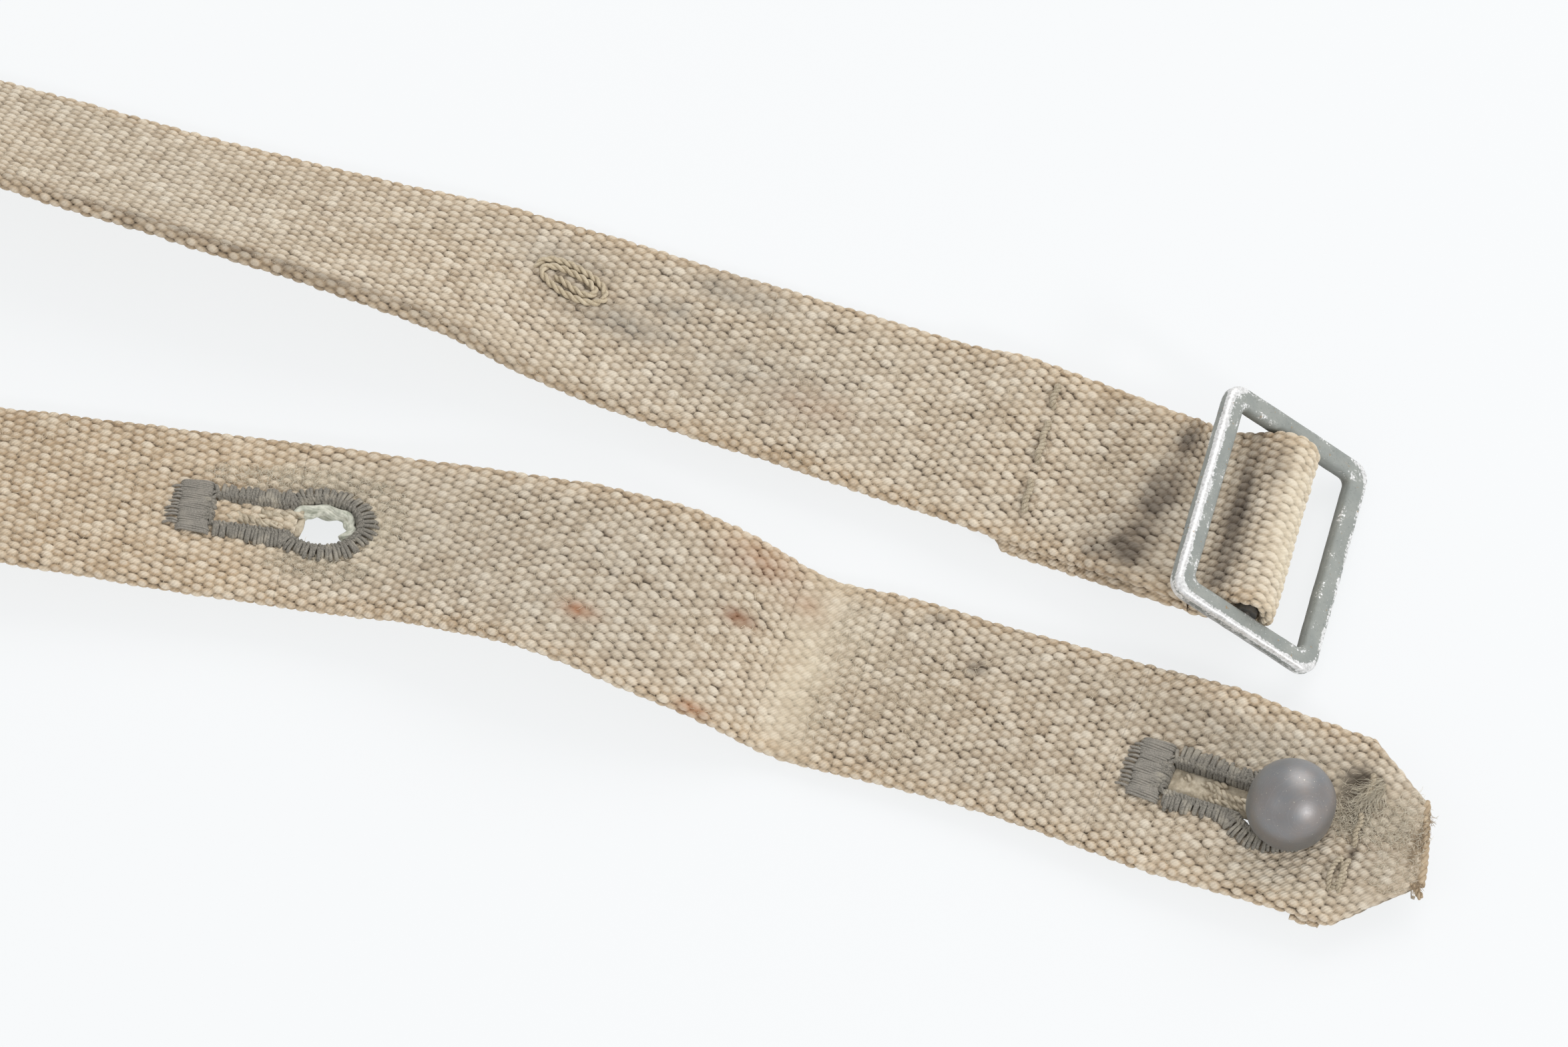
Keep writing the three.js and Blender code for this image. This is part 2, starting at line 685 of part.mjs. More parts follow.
const stud = new THREE.Group();
const studPlace = strapFrame(STRAP_LENGTH - STUD_FROM_TIP);
stud.position.copy(studPlace.origin).addScaledVector(studPlace.across, KEYHOLE_2_ACROSS);
stud.quaternion.setFromUnitVectors(UP, STUD.axis);
add(stud, "stud_head", studHead(), gunmetal);
add(stud, "stud_neck", studNeck(), gunmetal);
add(stud, "stud_base", studBase(), gunmetal);
strap.add(stud);

// The origin is the middle of the strap's box, on the table.
const box = new THREE.Box3().setFromObject(strap, true);
const middle = box.getCenter(new THREE.Vector3());
strap.position.set(-middle.x, -middle.y, -box.min.z);

export default strap;
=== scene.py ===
"""The looks of a worn cotton webbing strap with a slide buckle, two keyholes and a ball stud.

Lengths in this script are millimetres in the strap's own layout, whose origin is the middle of the picture.
to_row() turns them into metres in the row frame. A place on the webbing is (along, across): along runs from
the buckle round the bend to the tip, and across runs from the middle towards the edge near the camera.
"""

import math

import bpy
import numpy as np
from mathutils import Matrix, Vector


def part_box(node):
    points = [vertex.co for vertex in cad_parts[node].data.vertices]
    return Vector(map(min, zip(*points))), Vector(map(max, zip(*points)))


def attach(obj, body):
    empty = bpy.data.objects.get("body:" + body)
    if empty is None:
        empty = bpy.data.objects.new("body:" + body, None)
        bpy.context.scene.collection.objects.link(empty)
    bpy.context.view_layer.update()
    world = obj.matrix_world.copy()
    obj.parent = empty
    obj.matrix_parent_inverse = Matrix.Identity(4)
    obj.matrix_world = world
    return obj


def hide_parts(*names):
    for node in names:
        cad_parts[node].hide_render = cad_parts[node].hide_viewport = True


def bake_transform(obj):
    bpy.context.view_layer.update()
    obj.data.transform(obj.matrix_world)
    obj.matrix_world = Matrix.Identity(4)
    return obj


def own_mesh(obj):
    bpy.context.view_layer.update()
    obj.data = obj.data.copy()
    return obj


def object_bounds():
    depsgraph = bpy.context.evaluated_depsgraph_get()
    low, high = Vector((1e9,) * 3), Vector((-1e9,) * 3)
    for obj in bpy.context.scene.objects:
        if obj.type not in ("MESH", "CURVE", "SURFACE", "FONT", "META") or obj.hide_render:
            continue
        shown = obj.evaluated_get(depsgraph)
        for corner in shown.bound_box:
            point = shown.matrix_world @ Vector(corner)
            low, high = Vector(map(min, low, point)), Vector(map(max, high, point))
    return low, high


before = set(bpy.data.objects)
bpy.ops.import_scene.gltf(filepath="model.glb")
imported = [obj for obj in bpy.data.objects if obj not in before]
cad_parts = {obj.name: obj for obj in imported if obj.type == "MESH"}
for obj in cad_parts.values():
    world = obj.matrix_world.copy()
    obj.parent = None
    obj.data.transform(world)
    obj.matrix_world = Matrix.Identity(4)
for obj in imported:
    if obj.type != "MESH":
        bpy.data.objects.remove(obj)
cad_low, cad_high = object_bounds()

# ---- sizes shared with the CAD model
MM = 0.001
WIDTH = 28.8
HALF_WIDTH = WIDTH / 2
HALF_THICKNESS = 1.1
GAP = 0.3
BUCKLE_CENTRE = np.array([68.5, -6.1, 9.5])
BUCKLE_YAW, BUCKLE_ROLL, BUCKLE_TILT = -14.7, 3.5, 36.8
BUCKLE_LENGTH, BUCKLE_SPAN, BAR_WIDTH, BAR_THICKNESS = 35.6, 26.2, 3.1, 2.4
OUTER_CORNER = 2.6
FOLD_RADIUS = 3.0
FOLD_START = (-9.0, -0.3)
FOLD_SLOPE = 16.0
TAIL_LENGTH, TAIL_DRIFT = 28.5, 0.015
SEAM_SLANT = -0.148
SQUARE_TO_BAR = 14.0
CREASE_FROM_TIP = 92.5
STUD_FROM_TIP = 22.1
KEYHOLE_2_FROM_TIP = 24.1
KEYHOLE_2_ACROSS = 1.0
KEYHOLE_1_FROM_TIP = CREASE_FROM_TIP + 75.5
SLOT_START, SLOT_HALF, EYE_LONG, EYE_WIDE = -15.3, 1.9, 5.0, 3.6
STUD_AXIS = np.array([0.07, -0.16, 0.985])
HEAD_RADIUS, HEAD_FROM, HEAD_SKIRT, DOME_HEIGHT = 6.2, 3.6, 3.4, 6.0

# The strap's route from the buckle to the tip: x, y, roll in degrees, and lift off the table.
ROUTE = [
    (59.8, -3.8, 3.5, 7.2),
    (50.3, 1.5, 2, 4.8),
    (41, 5.8, 0, 4.2),
    (31, 10, 0, 4.1),
    (22, 13.8, 3, 1.6),
    (10, 18.6, 6, 0.2),
    (-16.5, 28, 7, 0.1),
    (-31, 33, 11, 0.1),
    (-45, 38, 20, 0.1),
    (-64, 43.4, 27, 0.1),
    (-83, 49.2, 31, 0.1),
    (-106.6, 56.8, 33, 0.1),
    (-150, 70.5, 43, 0.1),
    (-205, 84.5, 62, 0.1),
    (-270, 94, 80, 0.1),
    (-330, 97, 89, 0.1),
    (-372, 96, 90, 0.1),
    (-401.7, 83.7, 90, 0.1),
    (-414, 54, 90, 0.1),
    (-401.7, 24.3, 90, 0.1),
    (-372, 12, 90, 0.1),
    (-330, 13, 92, 0.1),
    (-270, 16, 103, 0.1),
    (-205, 14.5, 124, 0.1),
    (-150, 9.4, 150, 0.1),
    (-106.6, 3.1, 166, 0.1),
    (-70, -2.1, 171, 0.2),
    (-57, -4.6, 171, 1.2),
    (-45, -7.7, 171, 3.5),
    (-35.5, -10.9, 173, 6.3),
    (-26, -14.6, 177, 8.4),
    (-16.5, -18.1, 183.5, 7.5),
    (-7, -21.2, 183, 4.7),
    (-0.5, -23.2, 181, 1.65),
    (3.8, -24.6, 180.5, 0.4),
    (12, -27.1, 180.5, 0.6),
    (31, -33, 182, 1.1),
    (50, -40.1, 183.5, 1.8),
    (69.7, -47.9, 184, 3.0),
    (91.4, -55.9, 184, 2.85),
]

bar_low, bar_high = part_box("buckle_middle_bar")
OFFSET = (np.array(bar_low) + np.array(bar_high)) / 2 / MM - BUCKLE_CENTRE


def to_row(points):
    """Points of the layout as metres in the row frame."""
    return (np.asarray(points, float) + OFFSET) * MM


# ---- camera
VIEW_WIDTH = 222.65  # what the picture spans
VIEW_ELEVATION = 62.0
LENS, SENSOR = 300.0, 36.0


def make_camera():
    data = bpy.data.cameras.new("camera")
    data.lens = LENS
    data.sensor_width = SENSOR
    data.clip_end = 20.0
    camera = bpy.data.objects.new("camera", data)
    distance = VIEW_WIDTH * LENS / SENSOR
    angle = math.radians(VIEW_ELEVATION)
    place = np.array([0, -math.cos(angle), math.sin(angle)]) * distance
    camera.location = to_row(place)
    camera.rotation_euler = (math.pi / 2 - angle, 0, 0)
    bpy.context.scene.collection.objects.link(camera)
    bpy.context.scene.camera = camera


make_camera()

# ---- the route as a curve
ROUTE_SAMPLES = 30001


def centripetal(points, share):
    """The centripetal Catmull-Rom curve through the points, at shares of their count."""
    n = len(points)
    place = share * (n - 1)
    i = np.minimum(place.astype(int), n - 2)
    w = (place - i)[:, None]
    ends = np.vstack([2 * points[0] - points[1], points, 2 * points[-1] - points[-2]])
    p0, p1, p2, p3 = ends[i], ends[i + 1], ends[i + 2], ends[i + 3]
    d0 = np.sqrt(np.linalg.norm(p1 - p0, axis=1))[:, None]
    d1 = np.sqrt(np.linalg.norm(p2 - p1, axis=1))[:, None]
    d2 = np.sqrt(np.linalg.norm(p3 - p2, axis=1))[:, None]
    t1 = ((p1 - p0) / d0 - (p2 - p0) / (d0 + d1) + (p2 - p1) / d1) * d1
    t2 = ((p2 - p1) / d1 - (p3 - p1) / (d1 + d2) + (p3 - p2) / d2) * d1
    cubic = 2 * p1 - 2 * p2 + t1 + t2
    square = -3 * p1 + 3 * p2 - 2 * t1 - t2
    return p1 + t1 * w + square * w**2 + cubic * w**3


def plain_spline(values, share):
    """The uniform Catmull-Rom curve through plain numbers."""
    n = len(values)
    place = share * (n - 1)
    i = np.minimum(place.astype(int), n - 1)
    w = place - i
    p0, p1 = values[np.maximum(i - 1, 0)], values[i]
    p2, p3 = values[np.minimum(i + 1, n - 1)], values[np.minimum(i + 2, n - 1)]
    v0, v1 = (p2 - p0) / 2, (p3 - p1) / 2
    return p1 + v0 * w + (3 * (p2 - p1) - 2 * v0 - v1) * w**2 + (2 * (p1 - p2) + v0 + v1) * w**3


def unit(vectors):
    return vectors / np.linalg.norm(vectors, axis=-1, keepdims=True)


def lengths_along(points):
    """How far along a line of points each of them is."""
    steps = np.linalg.norm(np.diff(points, axis=0), axis=1)
    return np.concatenate([[0], np.cumsum(steps)])


def read_off(at, along, table):
    """The rows of a table listed against along, at the places asked for."""
    columns = [np.interp(at, along, table[:, k]) for k in range(table.shape[1])]
    return np.stack(columns, axis=-1)


def turn_about(axis, degrees):
    return np.array(Matrix.Rotation(math.radians(degrees), 3, axis))


FOLD_TURN = turn_about("Z", BUCKLE_YAW) @ turn_about("X", -BUCKLE_ROLL)
BUCKLE_TURN = FOLD_TURN @ turn_about("Y", BUCKLE_TILT)


def smoothstep(x, low, high):
    t = np.clip((x - low) / (high - low), 0, 1)
    return t * t * (3 - 2 * t)


def sample_route():
    """The strap's middle line: distance along it, points, and its forward and across directions."""
    route = np.array(ROUTE, float)
    roll = np.radians(route[:, 2])
    resting = HALF_WIDTH * np.abs(np.sin(roll)) + HALF_THICKNESS * np.abs(np.cos(roll))
    points = np.column_stack([route[:, :2], resting + route[:, 3]])
    share = np.linspace(0, 1, ROUTE_SAMPLES)
    curve = centripetal(points, share)
    along = lengths_along(curve)
    forward = unit(np.gradient(curve, axis=0))
    rolled = np.radians(plain_spline(route[:, 2], share))[:, None]
    left = unit(np.cross([0, 0, 1], forward))
    lifted = np.cross(forward, left)
    across = left * np.cos(rolled) + lifted * np.sin(rolled)
    at_bar = FOLD_TURN @ np.array([0, -1, 0])
    square = 1 - smoothstep(along, 0, SQUARE_TO_BAR)[:, None]
    across = unit(across * (1 - square) + at_bar * square)
    return along, curve, forward, across


ALONG, CURVE, FORWARD, ACROSS = sample_route()
LENGTH = ALONG[-1]
CREASE = LENGTH - CREASE_FROM_TIP
KEYHOLE_1 = (LENGTH - KEYHOLE_1_FROM_TIP, 0.0)
KEYHOLE_2 = (LENGTH - KEYHOLE_2_FROM_TIP, KEYHOLE_2_ACROSS)


def strap_frame(along):
    """Origin, forward, across and normal of the strap at places along it."""
    at = np.clip(along, 0, LENGTH)
    forward = unit(read_off(at, ALONG, FORWARD))
    across = unit(read_off(at, ALONG, ACROSS))
    origin = read_off(at, ALONG, CURVE) + forward * (along - at)[:, None]
    return origin, forward, across, unit(np.cross(forward, across))


def on_strap(along, across, off_face):
    """Points of the layout at places on the strap, off_face along the strap's normal."""
    along, across, off_face = np.broadcast_arrays(along, across, off_face)
    shape = along.shape
    origin, _, side, normal = strap_frame(along.ravel().astype(float))
    points = origin + side * across.ravel()[:, None] + normal * off_face.ravel()[:, None]
    return points.reshape(*shape, 3)


# ---- repeatable noise
def scatter(i, j, seed):
    """A repeatable random number from 0 to 1 for each pair of whole numbers."""
    value = np.sin(i * 127.1 + j * 311.7 + seed * 74.7) * 43758.5453
    return value - np.floor(value)


def smooth_noise(x, y, seed):
    """Value noise from -1 to 1 with a feature size of 1."""
    i, j = np.floor(x), np.floor(y)
    u, v = x - i, y - j
    u, v = u * u * (3 - 2 * u), v * v * (3 - 2 * v)
    top = scatter(i, j, seed) * (1 - u) + scatter(i + 1, j, seed) * u
    bottom = scatter(i, j + 1, seed) * (1 - u) + scatter(i + 1, j + 1, seed) * u
    return 2 * (top * (1 - v) + bottom * v) - 1


def cloudy(x, y, seed):
    """Three octaves of smooth noise, from -1 to 1."""
    total = smooth_noise(x, y, seed)
    total = total + 0.5 * smooth_noise(2.1 * x, 2.1 * y, seed + 1)
    return (total + 0.25 * smooth_noise(4.3 * x, 4.3 * y, seed + 2)) / 1.75


# ---- the weave
PICK = 1.56  # distance between weft picks
EDGE_INSET = 1.1  # from the selvedge to where the face starts to turn
EDGE_WALL = math.pi * 0.92  # how much cloth goes round a selvedge
FLAT_HALF = HALF_WIDTH - EDGE_INSET
ENDS = 86  # warp yarns round the whole section
PERIMETER = 4 * FLAT_HALF + 2 * EDGE_WALL
END_PITCH = PERIMETER / ENDS
FLOAT_LONG, FLOAT_WIDE = 1.1, 0.75
FLOAT_TURN = math.radians(-9)
CORE = 0.44  # half the thickness under the floats
CROWN = 0.74  # how far a float rises from the core


def weave(along, around):
    """The height (0 to 1) and the random tint (0 to 1) of the floats at places on the cloth."""
    nearest = np.round(around / END_PITCH)
    height = np.zeros_like(along)
    tint = np.full_like(along, 0.5)
    for side in (-1, 0, 1):
        end = nearest + side
        odd = np.mod(end, 2)
        wave = 0.10 * smooth_noise(along / 9, end * 0.37, 5)
        row = np.round((along / PICK - odd) / 2)
        ring = np.mod(end, ENDS)
        jitter = scatter(ring, row, 1) - 0.5
        centre = (2 * row + odd) * PICK + 0.2 * jitter
        du = along - centre
        dv = around - end * END_PITCH - wave - 0.12 * (scatter(ring, row, 2) - 0.5)
        turn = FLOAT_TURN + 0.25 * (scatter(ring, row, 3) - 0.5)
        u = du * np.cos(turn) + dv * np.sin(turn)
        v = dv * np.cos(turn) - du * np.sin(turn)
        long = FLOAT_LONG * (0.94 + 0.12 * scatter(ring, row, 4))
        wide = FLOAT_WIDE * (0.93 + 0.14 * scatter(ring, row, 6))
        inside = 1 - (u / long) ** 2 - (v / wide) ** 2
        rise = np.sqrt(np.maximum(inside, 0)) * (0.88 + 0.2 * scatter(ring, row, 7))
        higher = rise > height
        height = np.where(higher, rise, height)
        tint = np.where(higher, scatter(ring, row, 8), tint)
    return height, tint


TACK_ALONG, TACK_ACROSS, TACK_TURN = 99.5, -3.6, 11.0  # the thread loop sewn on the upper face

# ---- wear, stains and painted shade on the cloth
# Each mark: along, across, half its length, half its width, strength.
SOIL_AND_SHADE = [
    # dirt and painted shade: the dark band in the groove beside the buckle's left bar
    (7.2, -9.5, 3.0, 5.0, 0.9),
    (7.6, 0.0, 3.2, 8.0, 1.0),
    (8.8, 8.5, 3.6, 5.5, 1.0),
    (12.0, 11.5, 4.0, 3.0, 0.6),
    # darker under the thread tack
    (TACK_ALONG, TACK_ACROSS, 5.4, 2.9, 0.3),
    # a thin darker line along the seam
    (28.1, -9.3, 0.9, 2.0, 0.3),
    (27.0, -1.9, 0.9, 3.4, 0.4),
    (25.7, 7.0, 0.9, 2.6, 0.4),
    (LENGTH - 62, 2, 24, 22, 0.1),
    (LENGTH - 235, 0, 30, 30, 0.06),
    # dirt and painted shade: the dark band in the valley between the bar and the roll
    (-5.0, 0.0, 2.2, 16.0, 0.95),
    (-4.5, 11.0, 2.5, 3.0, 0.8),
    (-8.5, -8.5, 1.6, 4.0, 0.45),
    (LENGTH - 70.6, -6.5, 1.6, 1.3, 0.75),
    # painted shade in the frayed pit beside the stud
    (LENGTH - 14.4, -6.4, 1.7, 2.3, 0.95),
    (LENGTH - 13.5, -1.5, 1.2, 1.6, 0.6),
    # painted shade in the gap along the tip's stitching
    (LENGTH - 11.6, 3.0, 0.6, 3.2, 0.8),
    (LENGTH - 78, -12.5, 1.8, 1.2, 0.5),
    (140, 13.2, 55, 1.1, 0.55),
    (LENGTH - 106, -2.4, 3.2, 1.2, 0.35),
]
RUST = [
    (LENGTH - 127.1, 6.0, 2.6, 1.3, 0.7),
    (LENGTH - 106.1, -2.2, 2.4, 1.1, 0.8),
    (LENGTH - 107.5, 13.3, 2.4, 1.0, 0.7),
    (LENGTH - 104.9, -11.5, 6.0, 2.6, 0.45),
    (LENGTH - 98, -9.0, 4.0, 2.0, 0.3),
    (60, 4, 6, 3, 0.2),
]
PALE = [
    (KEYHOLE_1[0] + 1.0, -0.5, 13.0, 7.5, 0.65),
    (KEYHOLE_1[0] + 8.0, 1.5, 5.0, 6.0, 0.7),
    (KEYHOLE_1[0] - 2.0, -7.5, 8.0, 2.0, 0.5),
    (CREASE - 1.5, 0, 5.0, 20, 0.6),
    (CREASE + 4.0, -6, 5.0, 8, 0.35),
    (-13.6, 0, 3.2, 20, 1.0),
    (KEYHOLE_2[0] - 2, -6.5, 8.0, 2.2, 0.3),
    (LENGTH - 14.5, -6.0, 5.0, 3.0, 0.5),
    (KEYHOLE_2[0] + 4, 11, 10, 2.0, 0.25),
]
GREY = [
    (90.5, 0.2, 9.0, 3.0, 0.8),
    (85, -4.5, 5.0, 2.5, 0.7),
    (76.4, -11.0, 7.0, 3.0, 0.75),
    (101, -7.0, 7.0, 3.0, 0.45),
    (70, 2.0, 14.0, 6.0, 0.35),
    (LENGTH - 8, 0, 8.0, 12.0, 0.35),
    (LENGTH - 24, -7.5, 16.0, 4.0, 0.4),
    (KEYHOLE_1[0] + 18, 0, 16.0, 12.0, 0.2),
    (LENGTH - 125, 0, 20.0, 14.0, 0.2),
    (KEYHOLE_2[0] + 2, 1, 9.0, 5.0, 0.5),
]


def marks(spots, along, across, seed):
    """How strong a kind of mark is, 0 to 1, at places on the cloth."""
    total = np.zeros_like(along)
    for a, v, long, wide, strength in spots:
        spread = ((along - a) / long) ** 2 + ((across - v) / wide) ** 2
        total = np.maximum(total, strength * np.exp(-spread))
    blotchy = 1 + 0.55 * cloudy(along / 2.6, across / 1.9, seed)
    return np.clip(total * blotchy, 0, 1)


def warmth(along, across):
    """The orange-tan cast: strongest along the pointed strand before its first keyhole, and at the edges."""
    started = smoothstep(along, LENGTH - 260, LENGTH - 225)
    strand = started * (1 - smoothstep(along, KEYHOLE_1[0] - 14, KEYHOLE_1[0] + 2))
    edge = smoothstep(np.abs(across), 10.5, 14.2) * 0.65
    drift = 0.3 + 0.3 * cloudy(along / 31, across / 17, 41)
    return np.clip(0.75 * strand + edge + drift, 0, 1)


# ---- mesh helpers
def new_mesh(name, points, faces, smooth=True):
    """A mesh object from points in metres and an array of faces with the same number of corners."""
    faces = np.asarray(faces, np.int32)
    count, corners = faces.shape
    mesh = bpy.data.meshes.new(name)
    mesh.vertices.add(len(points))
    mesh.vertices.foreach_set("co", np.asarray(points, np.float32).ravel())
    mesh.loops.add(faces.size)
    mesh.loops.foreach_set("vertex_index", faces.ravel())
    mesh.polygons.add(count)
    mesh.polygons.foreach_set("loop_start", np.arange(0, faces.size, corners, dtype=np.int32))
    mesh.polygons.foreach_set("loop_total", np.full(count, corners, np.int32))
    mesh.polygons.foreach_set("use_smooth", np.full(count, smooth))
    mesh.update(calc_edges=True)
    piece = bpy.data.objects.new(name, mesh)
    bpy.context.scene.collection.objects.link(piece)
    return piece


def paint(piece, name, values):
    """A colour attribute on the piece's points, from an array of up to four columns."""
    colours = np.zeros((len(piece.data.vertices), 4), np.float32)
    colours[:, : values.shape[1]] = values
    attribute = piece.data.attributes.new(name, "FLOAT_COLOR", "POINT")
    attribute.data.foreach_set("color", colours.ravel())


def finish_piece(piece, body, material, slot, *nodes):
    """Give a piece its material, let it ride a body, and let it stand for nodes of the CAD model. The slot
    argument is not used.
    """
    piece.data.materials.append(material)
    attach(piece, body)
    if nodes:
        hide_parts(*nodes)
    return piece


# ---- cloth pieces
COLUMNS = 328
TUCK = (0.03, 0.09, 0.16)  # how far the last rings of a piece sink into the next one
WIDER = [  # where the webbing has spread: side, along, half its length, how much
    (-1, LENGTH - 120, 21, 1.0),
    (-1, LENGTH - 83, 10, 0.8),
    (-1, LENGTH - 37, 13, 0.9),
    (1, LENGTH - 35, 16, 0.95),
    (-1, 38, 12, 0.25),
]
# The tip's two sides: the distance from the tip (negative is before it), and the place across.
TIP_FAR = [(-14.5, -HALF_WIDTH - 0.2), (-3.6, -7.3), (-0.8, 4.3)]
TIP_NEAR = [(-11.4, HALF_WIDTH + 0.3), (-0.8, 4.3)]


def edge_lines(along):
    """The far and near edge of the woven width, before any cut."""
    far = -HALF_WIDTH - 0.16 * smooth_noise(along / 7, along * 0 + 3, 21)
    near = HALF_WIDTH + 0.16 * smooth_noise(along / 8, along * 0 + 9, 22)
    for side, centre, long, amount in WIDER:
        bump = amount * np.exp(-(((along - centre) / long) ** 2))
        far = far - bump * (side < 0)
        near = near + bump * (side > 0)
    return far, near


def tip_cut(along, inset):
    """The far and near line of the pointed end."""
    back = along - LENGTH + inset
    far = np.interp(back, *zip(*TIP_FAR), left=-WIDTH) + inset
    near = np.interp(back, *zip(*TIP_NEAR), left=WIDTH) - inset
    return far, np.maximum(near, far)


def tail_cut(along):
    """The far and near line of the tail, whose corners are frayed round."""
    rounded = 2.2 * smoothstep(along, TAIL_LENGTH - 3.5, TAIL_LENGTH) ** 2
    return rounded - HALF_WIDTH - 1, HALF_WIDTH + 0.3 - rounded


def section():
    """One ring of the cloth: share across, its outward direction sideways and up, and its place around."""
    flat = 2 * FLAT_HALF
    s = (np.arange(COLUMNS) + 0.5) / COLUMNS * PERIMETER + flat + EDGE_WALL / 2
    s = np.mod(s, PERIMETER)
    share = np.clip(s / flat, 0, 1)
    share = np.where(s > flat + EDGE_WALL, 1 - np.clip((s - flat - EDGE_WALL) / flat, 0, 1), share)
    near_turn = np.clip((s - flat) / EDGE_WALL, 0, 1)
    far_turn = np.clip((s - 2 * flat - EDGE_WALL) / EDGE_WALL, 0, 1)
    angle = math.pi / 2 - math.pi * (near_turn + far_turn)
    return share, np.cos(angle), np.sin(angle), s - FLAT_HALF


def inside_keyhole(along, across, eye, grow):
    """Whether places on the cloth are inside a keyhole that is larger by grow all round."""
    du, dv = along - eye[0], across - eye[1]
    slot = (du > SLOT_START - grow) & (du < 0) & (np.abs(dv) < SLOT_HALF + grow)
    return slot | ((du / (EYE_LONG + grow)) ** 2 + (dv / (EYE_WIDE + grow)) ** 2 < 1)


def tube_faces(rings, columns):
    """The sides of a tube whose points are stored ring by ring."""
    i, j = np.meshgrid(np.arange(rings - 1), np.arange(columns), indexing="ij")
    k = (j + 1) % columns
    here, following = i * columns, (i + 1) * columns
    quads = np.stack([here + j, following + j, following + k, here + k], axis=-1)
    return quads.reshape(-1, 4)


def cap_faces(rings):
    """The two ends of a cloth tube, each a row of quads from its top to its bottom."""
    j = np.arange(COLUMNS // 2 - 1)
    cap = np.column_stack([j, j + 1, COLUMNS - 2 - j, COLUMNS - 1 - j])
    return np.vstack([cap, cap[:, ::-1] + (rings - 1) * COLUMNS])


def wall_faces(removed):
    """The walls of an opening, from the rim on the top face to the same rim on the bottom face."""
    edges = np.vstack([removed[:, [k, (k + 1) % 4]] for k in range(4)])
    known = set(map(tuple, edges))
    rim = np.array([(a, b) for a, b in edges if (b, a) not in known])
    across = rim // COLUMNS * COLUMNS + COLUMNS - 1 - rim % COLUMNS
    return np.column_stack([rim[:, 0], rim[:, 1], across[:, 1], across[:, 0]])


# The frayed hole beside the stud: along, across, half its length, half its width.
PIT = (LENGTH - 13.8, -5.6, 2.6, 2.9)


def relief(along, across, height):
    """The weave's height after wear: flattened at the crease, sunk where it is frayed through."""
    worn = 0.38 * np.exp(-(((along - CREASE + 1.5) / 5.0) ** 2))
    worn = np.maximum(worn, 0.5 * smoothstep(along, LENGTH - 11, LENGTH - 6))
    pit = np.exp(-(((along - PIT[0]) / PIT[2]) ** 2) - ((across - PIT[1]) / PIT[3]) ** 2)
    fibres = 0.25 * cloudy(along / 0.7, across / 0.5, 61)
    softened = height * (1 - worn) + worn * (0.75 + fibres)
    return softened * (1 - pit) - 0.9 * pit


def cloth_faces(rings, along, across, up, holes):
    """The faces of a cloth tube with its keyholes opened, and how many at the end are caps and walls."""
    faces = tube_faces(rings, COLUMNS)
    middle = [v.ravel()[faces].mean(1) for v in (along, across)]
    opened = np.zeros(len(faces), bool)
    for eye in holes:
        opened |= inside_keyhole(*middle, eye, 0.3)
    opened &= np.abs(up)[faces % COLUMNS].min(1) > 0.99
    flat_faces = [cap_faces(rings)]
    if opened.any():
        on_top = up[faces[:, 0] % COLUMNS] > 0
        flat_faces.append(wall_faces(faces[opened & on_top]))
    flat_faces = np.vstack(flat_faces)
    return np.vstack([faces[~opened], flat_faces]), len(flat_faces)


def cloth(name, start, end, step, place, cut=None, holes=(), tucked=True):
    """A tube of woven cloth. place turns (along, across, off_face) into points of the layout.

    A tucked piece runs a little way on inside the next one, so that no line shows between them.
    """
    stations = np.linspace(start, end, max(2, int(round((end - start) / step)) + 1))
    sunk = np.zeros(len(stations))
    if tucked:
        stations = np.append(stations, end + step * np.arange(1, 4))
        sunk = np.append(sunk, TUCK)
    rings = len(stations)
    along = stations[:, None] + np.zeros(COLUMNS)
    share, side, up, around = section()
    far, near = edge_lines(along)
    lo, hi = (far, near) if cut is None else cut(along)
    lo, hi = np.maximum(far, lo), np.minimum(near, hi)
    inset = np.minimum(EDGE_INSET, (hi - lo) / 2)
    across = lo + inset + share * (hi - lo - 2 * inset)
    flat_share = (across - far - EDGE_INSET) / (near - far - 2 * EDGE_INSET)
    moved = FLAT_HALF * (2 * flat_share - 1) - (FLAT_HALF * (2 * share - 1))
    around = around + np.where(up > 0, moved, -moved)
    height, tint = weave(along, around)
    height = relief(along, across, height)
    out = (CORE + CROWN * height) * np.minimum(1, inset / EDGE_INSET + 0.25) - sunk[:, None]
    wavy = 0.16 * cloudy(along / 11, across / 13, 31)
    points = place(along, across + side * out, up * out + wavy).reshape(-1, 3)
    faces, flat_count = cloth_faces(rings, along, across, up, holes)
    used = np.unique(faces)
    renumber = np.zeros(rings * COLUMNS, np.int64)
    renumber[used] = np.arange(len(used))
    piece = new_mesh(name, to_row(points[used]), renumber[faces])
    smooth = np.ones(len(faces), bool)
    smooth[-flat_count:] = False
    piece.data.polygons.foreach_set("use_smooth", smooth)
    real_across = across + side * out
    paint_cloth(piece, [v.ravel()[used] for v in (along, real_across, height, tint, around + 0 * along)])
    return piece


def paint_cloth(piece, values):
    """The cloth's wear, stains, painted shade and weave as colour attributes, and its unrolled millimetres as
    a UV layer.
    """
    along, across, height, tint, around = values
    kinds = ((SOIL_AND_SHADE, 51), (RUST, 54), (PALE, 57), (GREY, 60))
    wear = [marks(spots, along, across, seed) for spots, seed in kinds]
    # the first column holds dirt with painted shade, then rust, pale wear and grey dirt
    paint(piece, "wear", np.column_stack(wear))
    paint(piece, "weave", np.column_stack([np.clip(height, 0, 1), tint, warmth(along, across)]))
    corners = np.empty(len(piece.data.loops), np.int32)
    piece.data.loops.foreach_get("vertex_index", corners)
    around = around[corners].reshape(-1, 4)
    around = around + PERIMETER * (around.max(1, keepdims=True) - around > PERIMETER / 2)
    layer = piece.data.uv_layers.new(name="cloth")
    places = np.column_stack([along[corners], around.ravel()]).astype(np.float32)
    layer.data.foreach_set("uv", places.ravel())


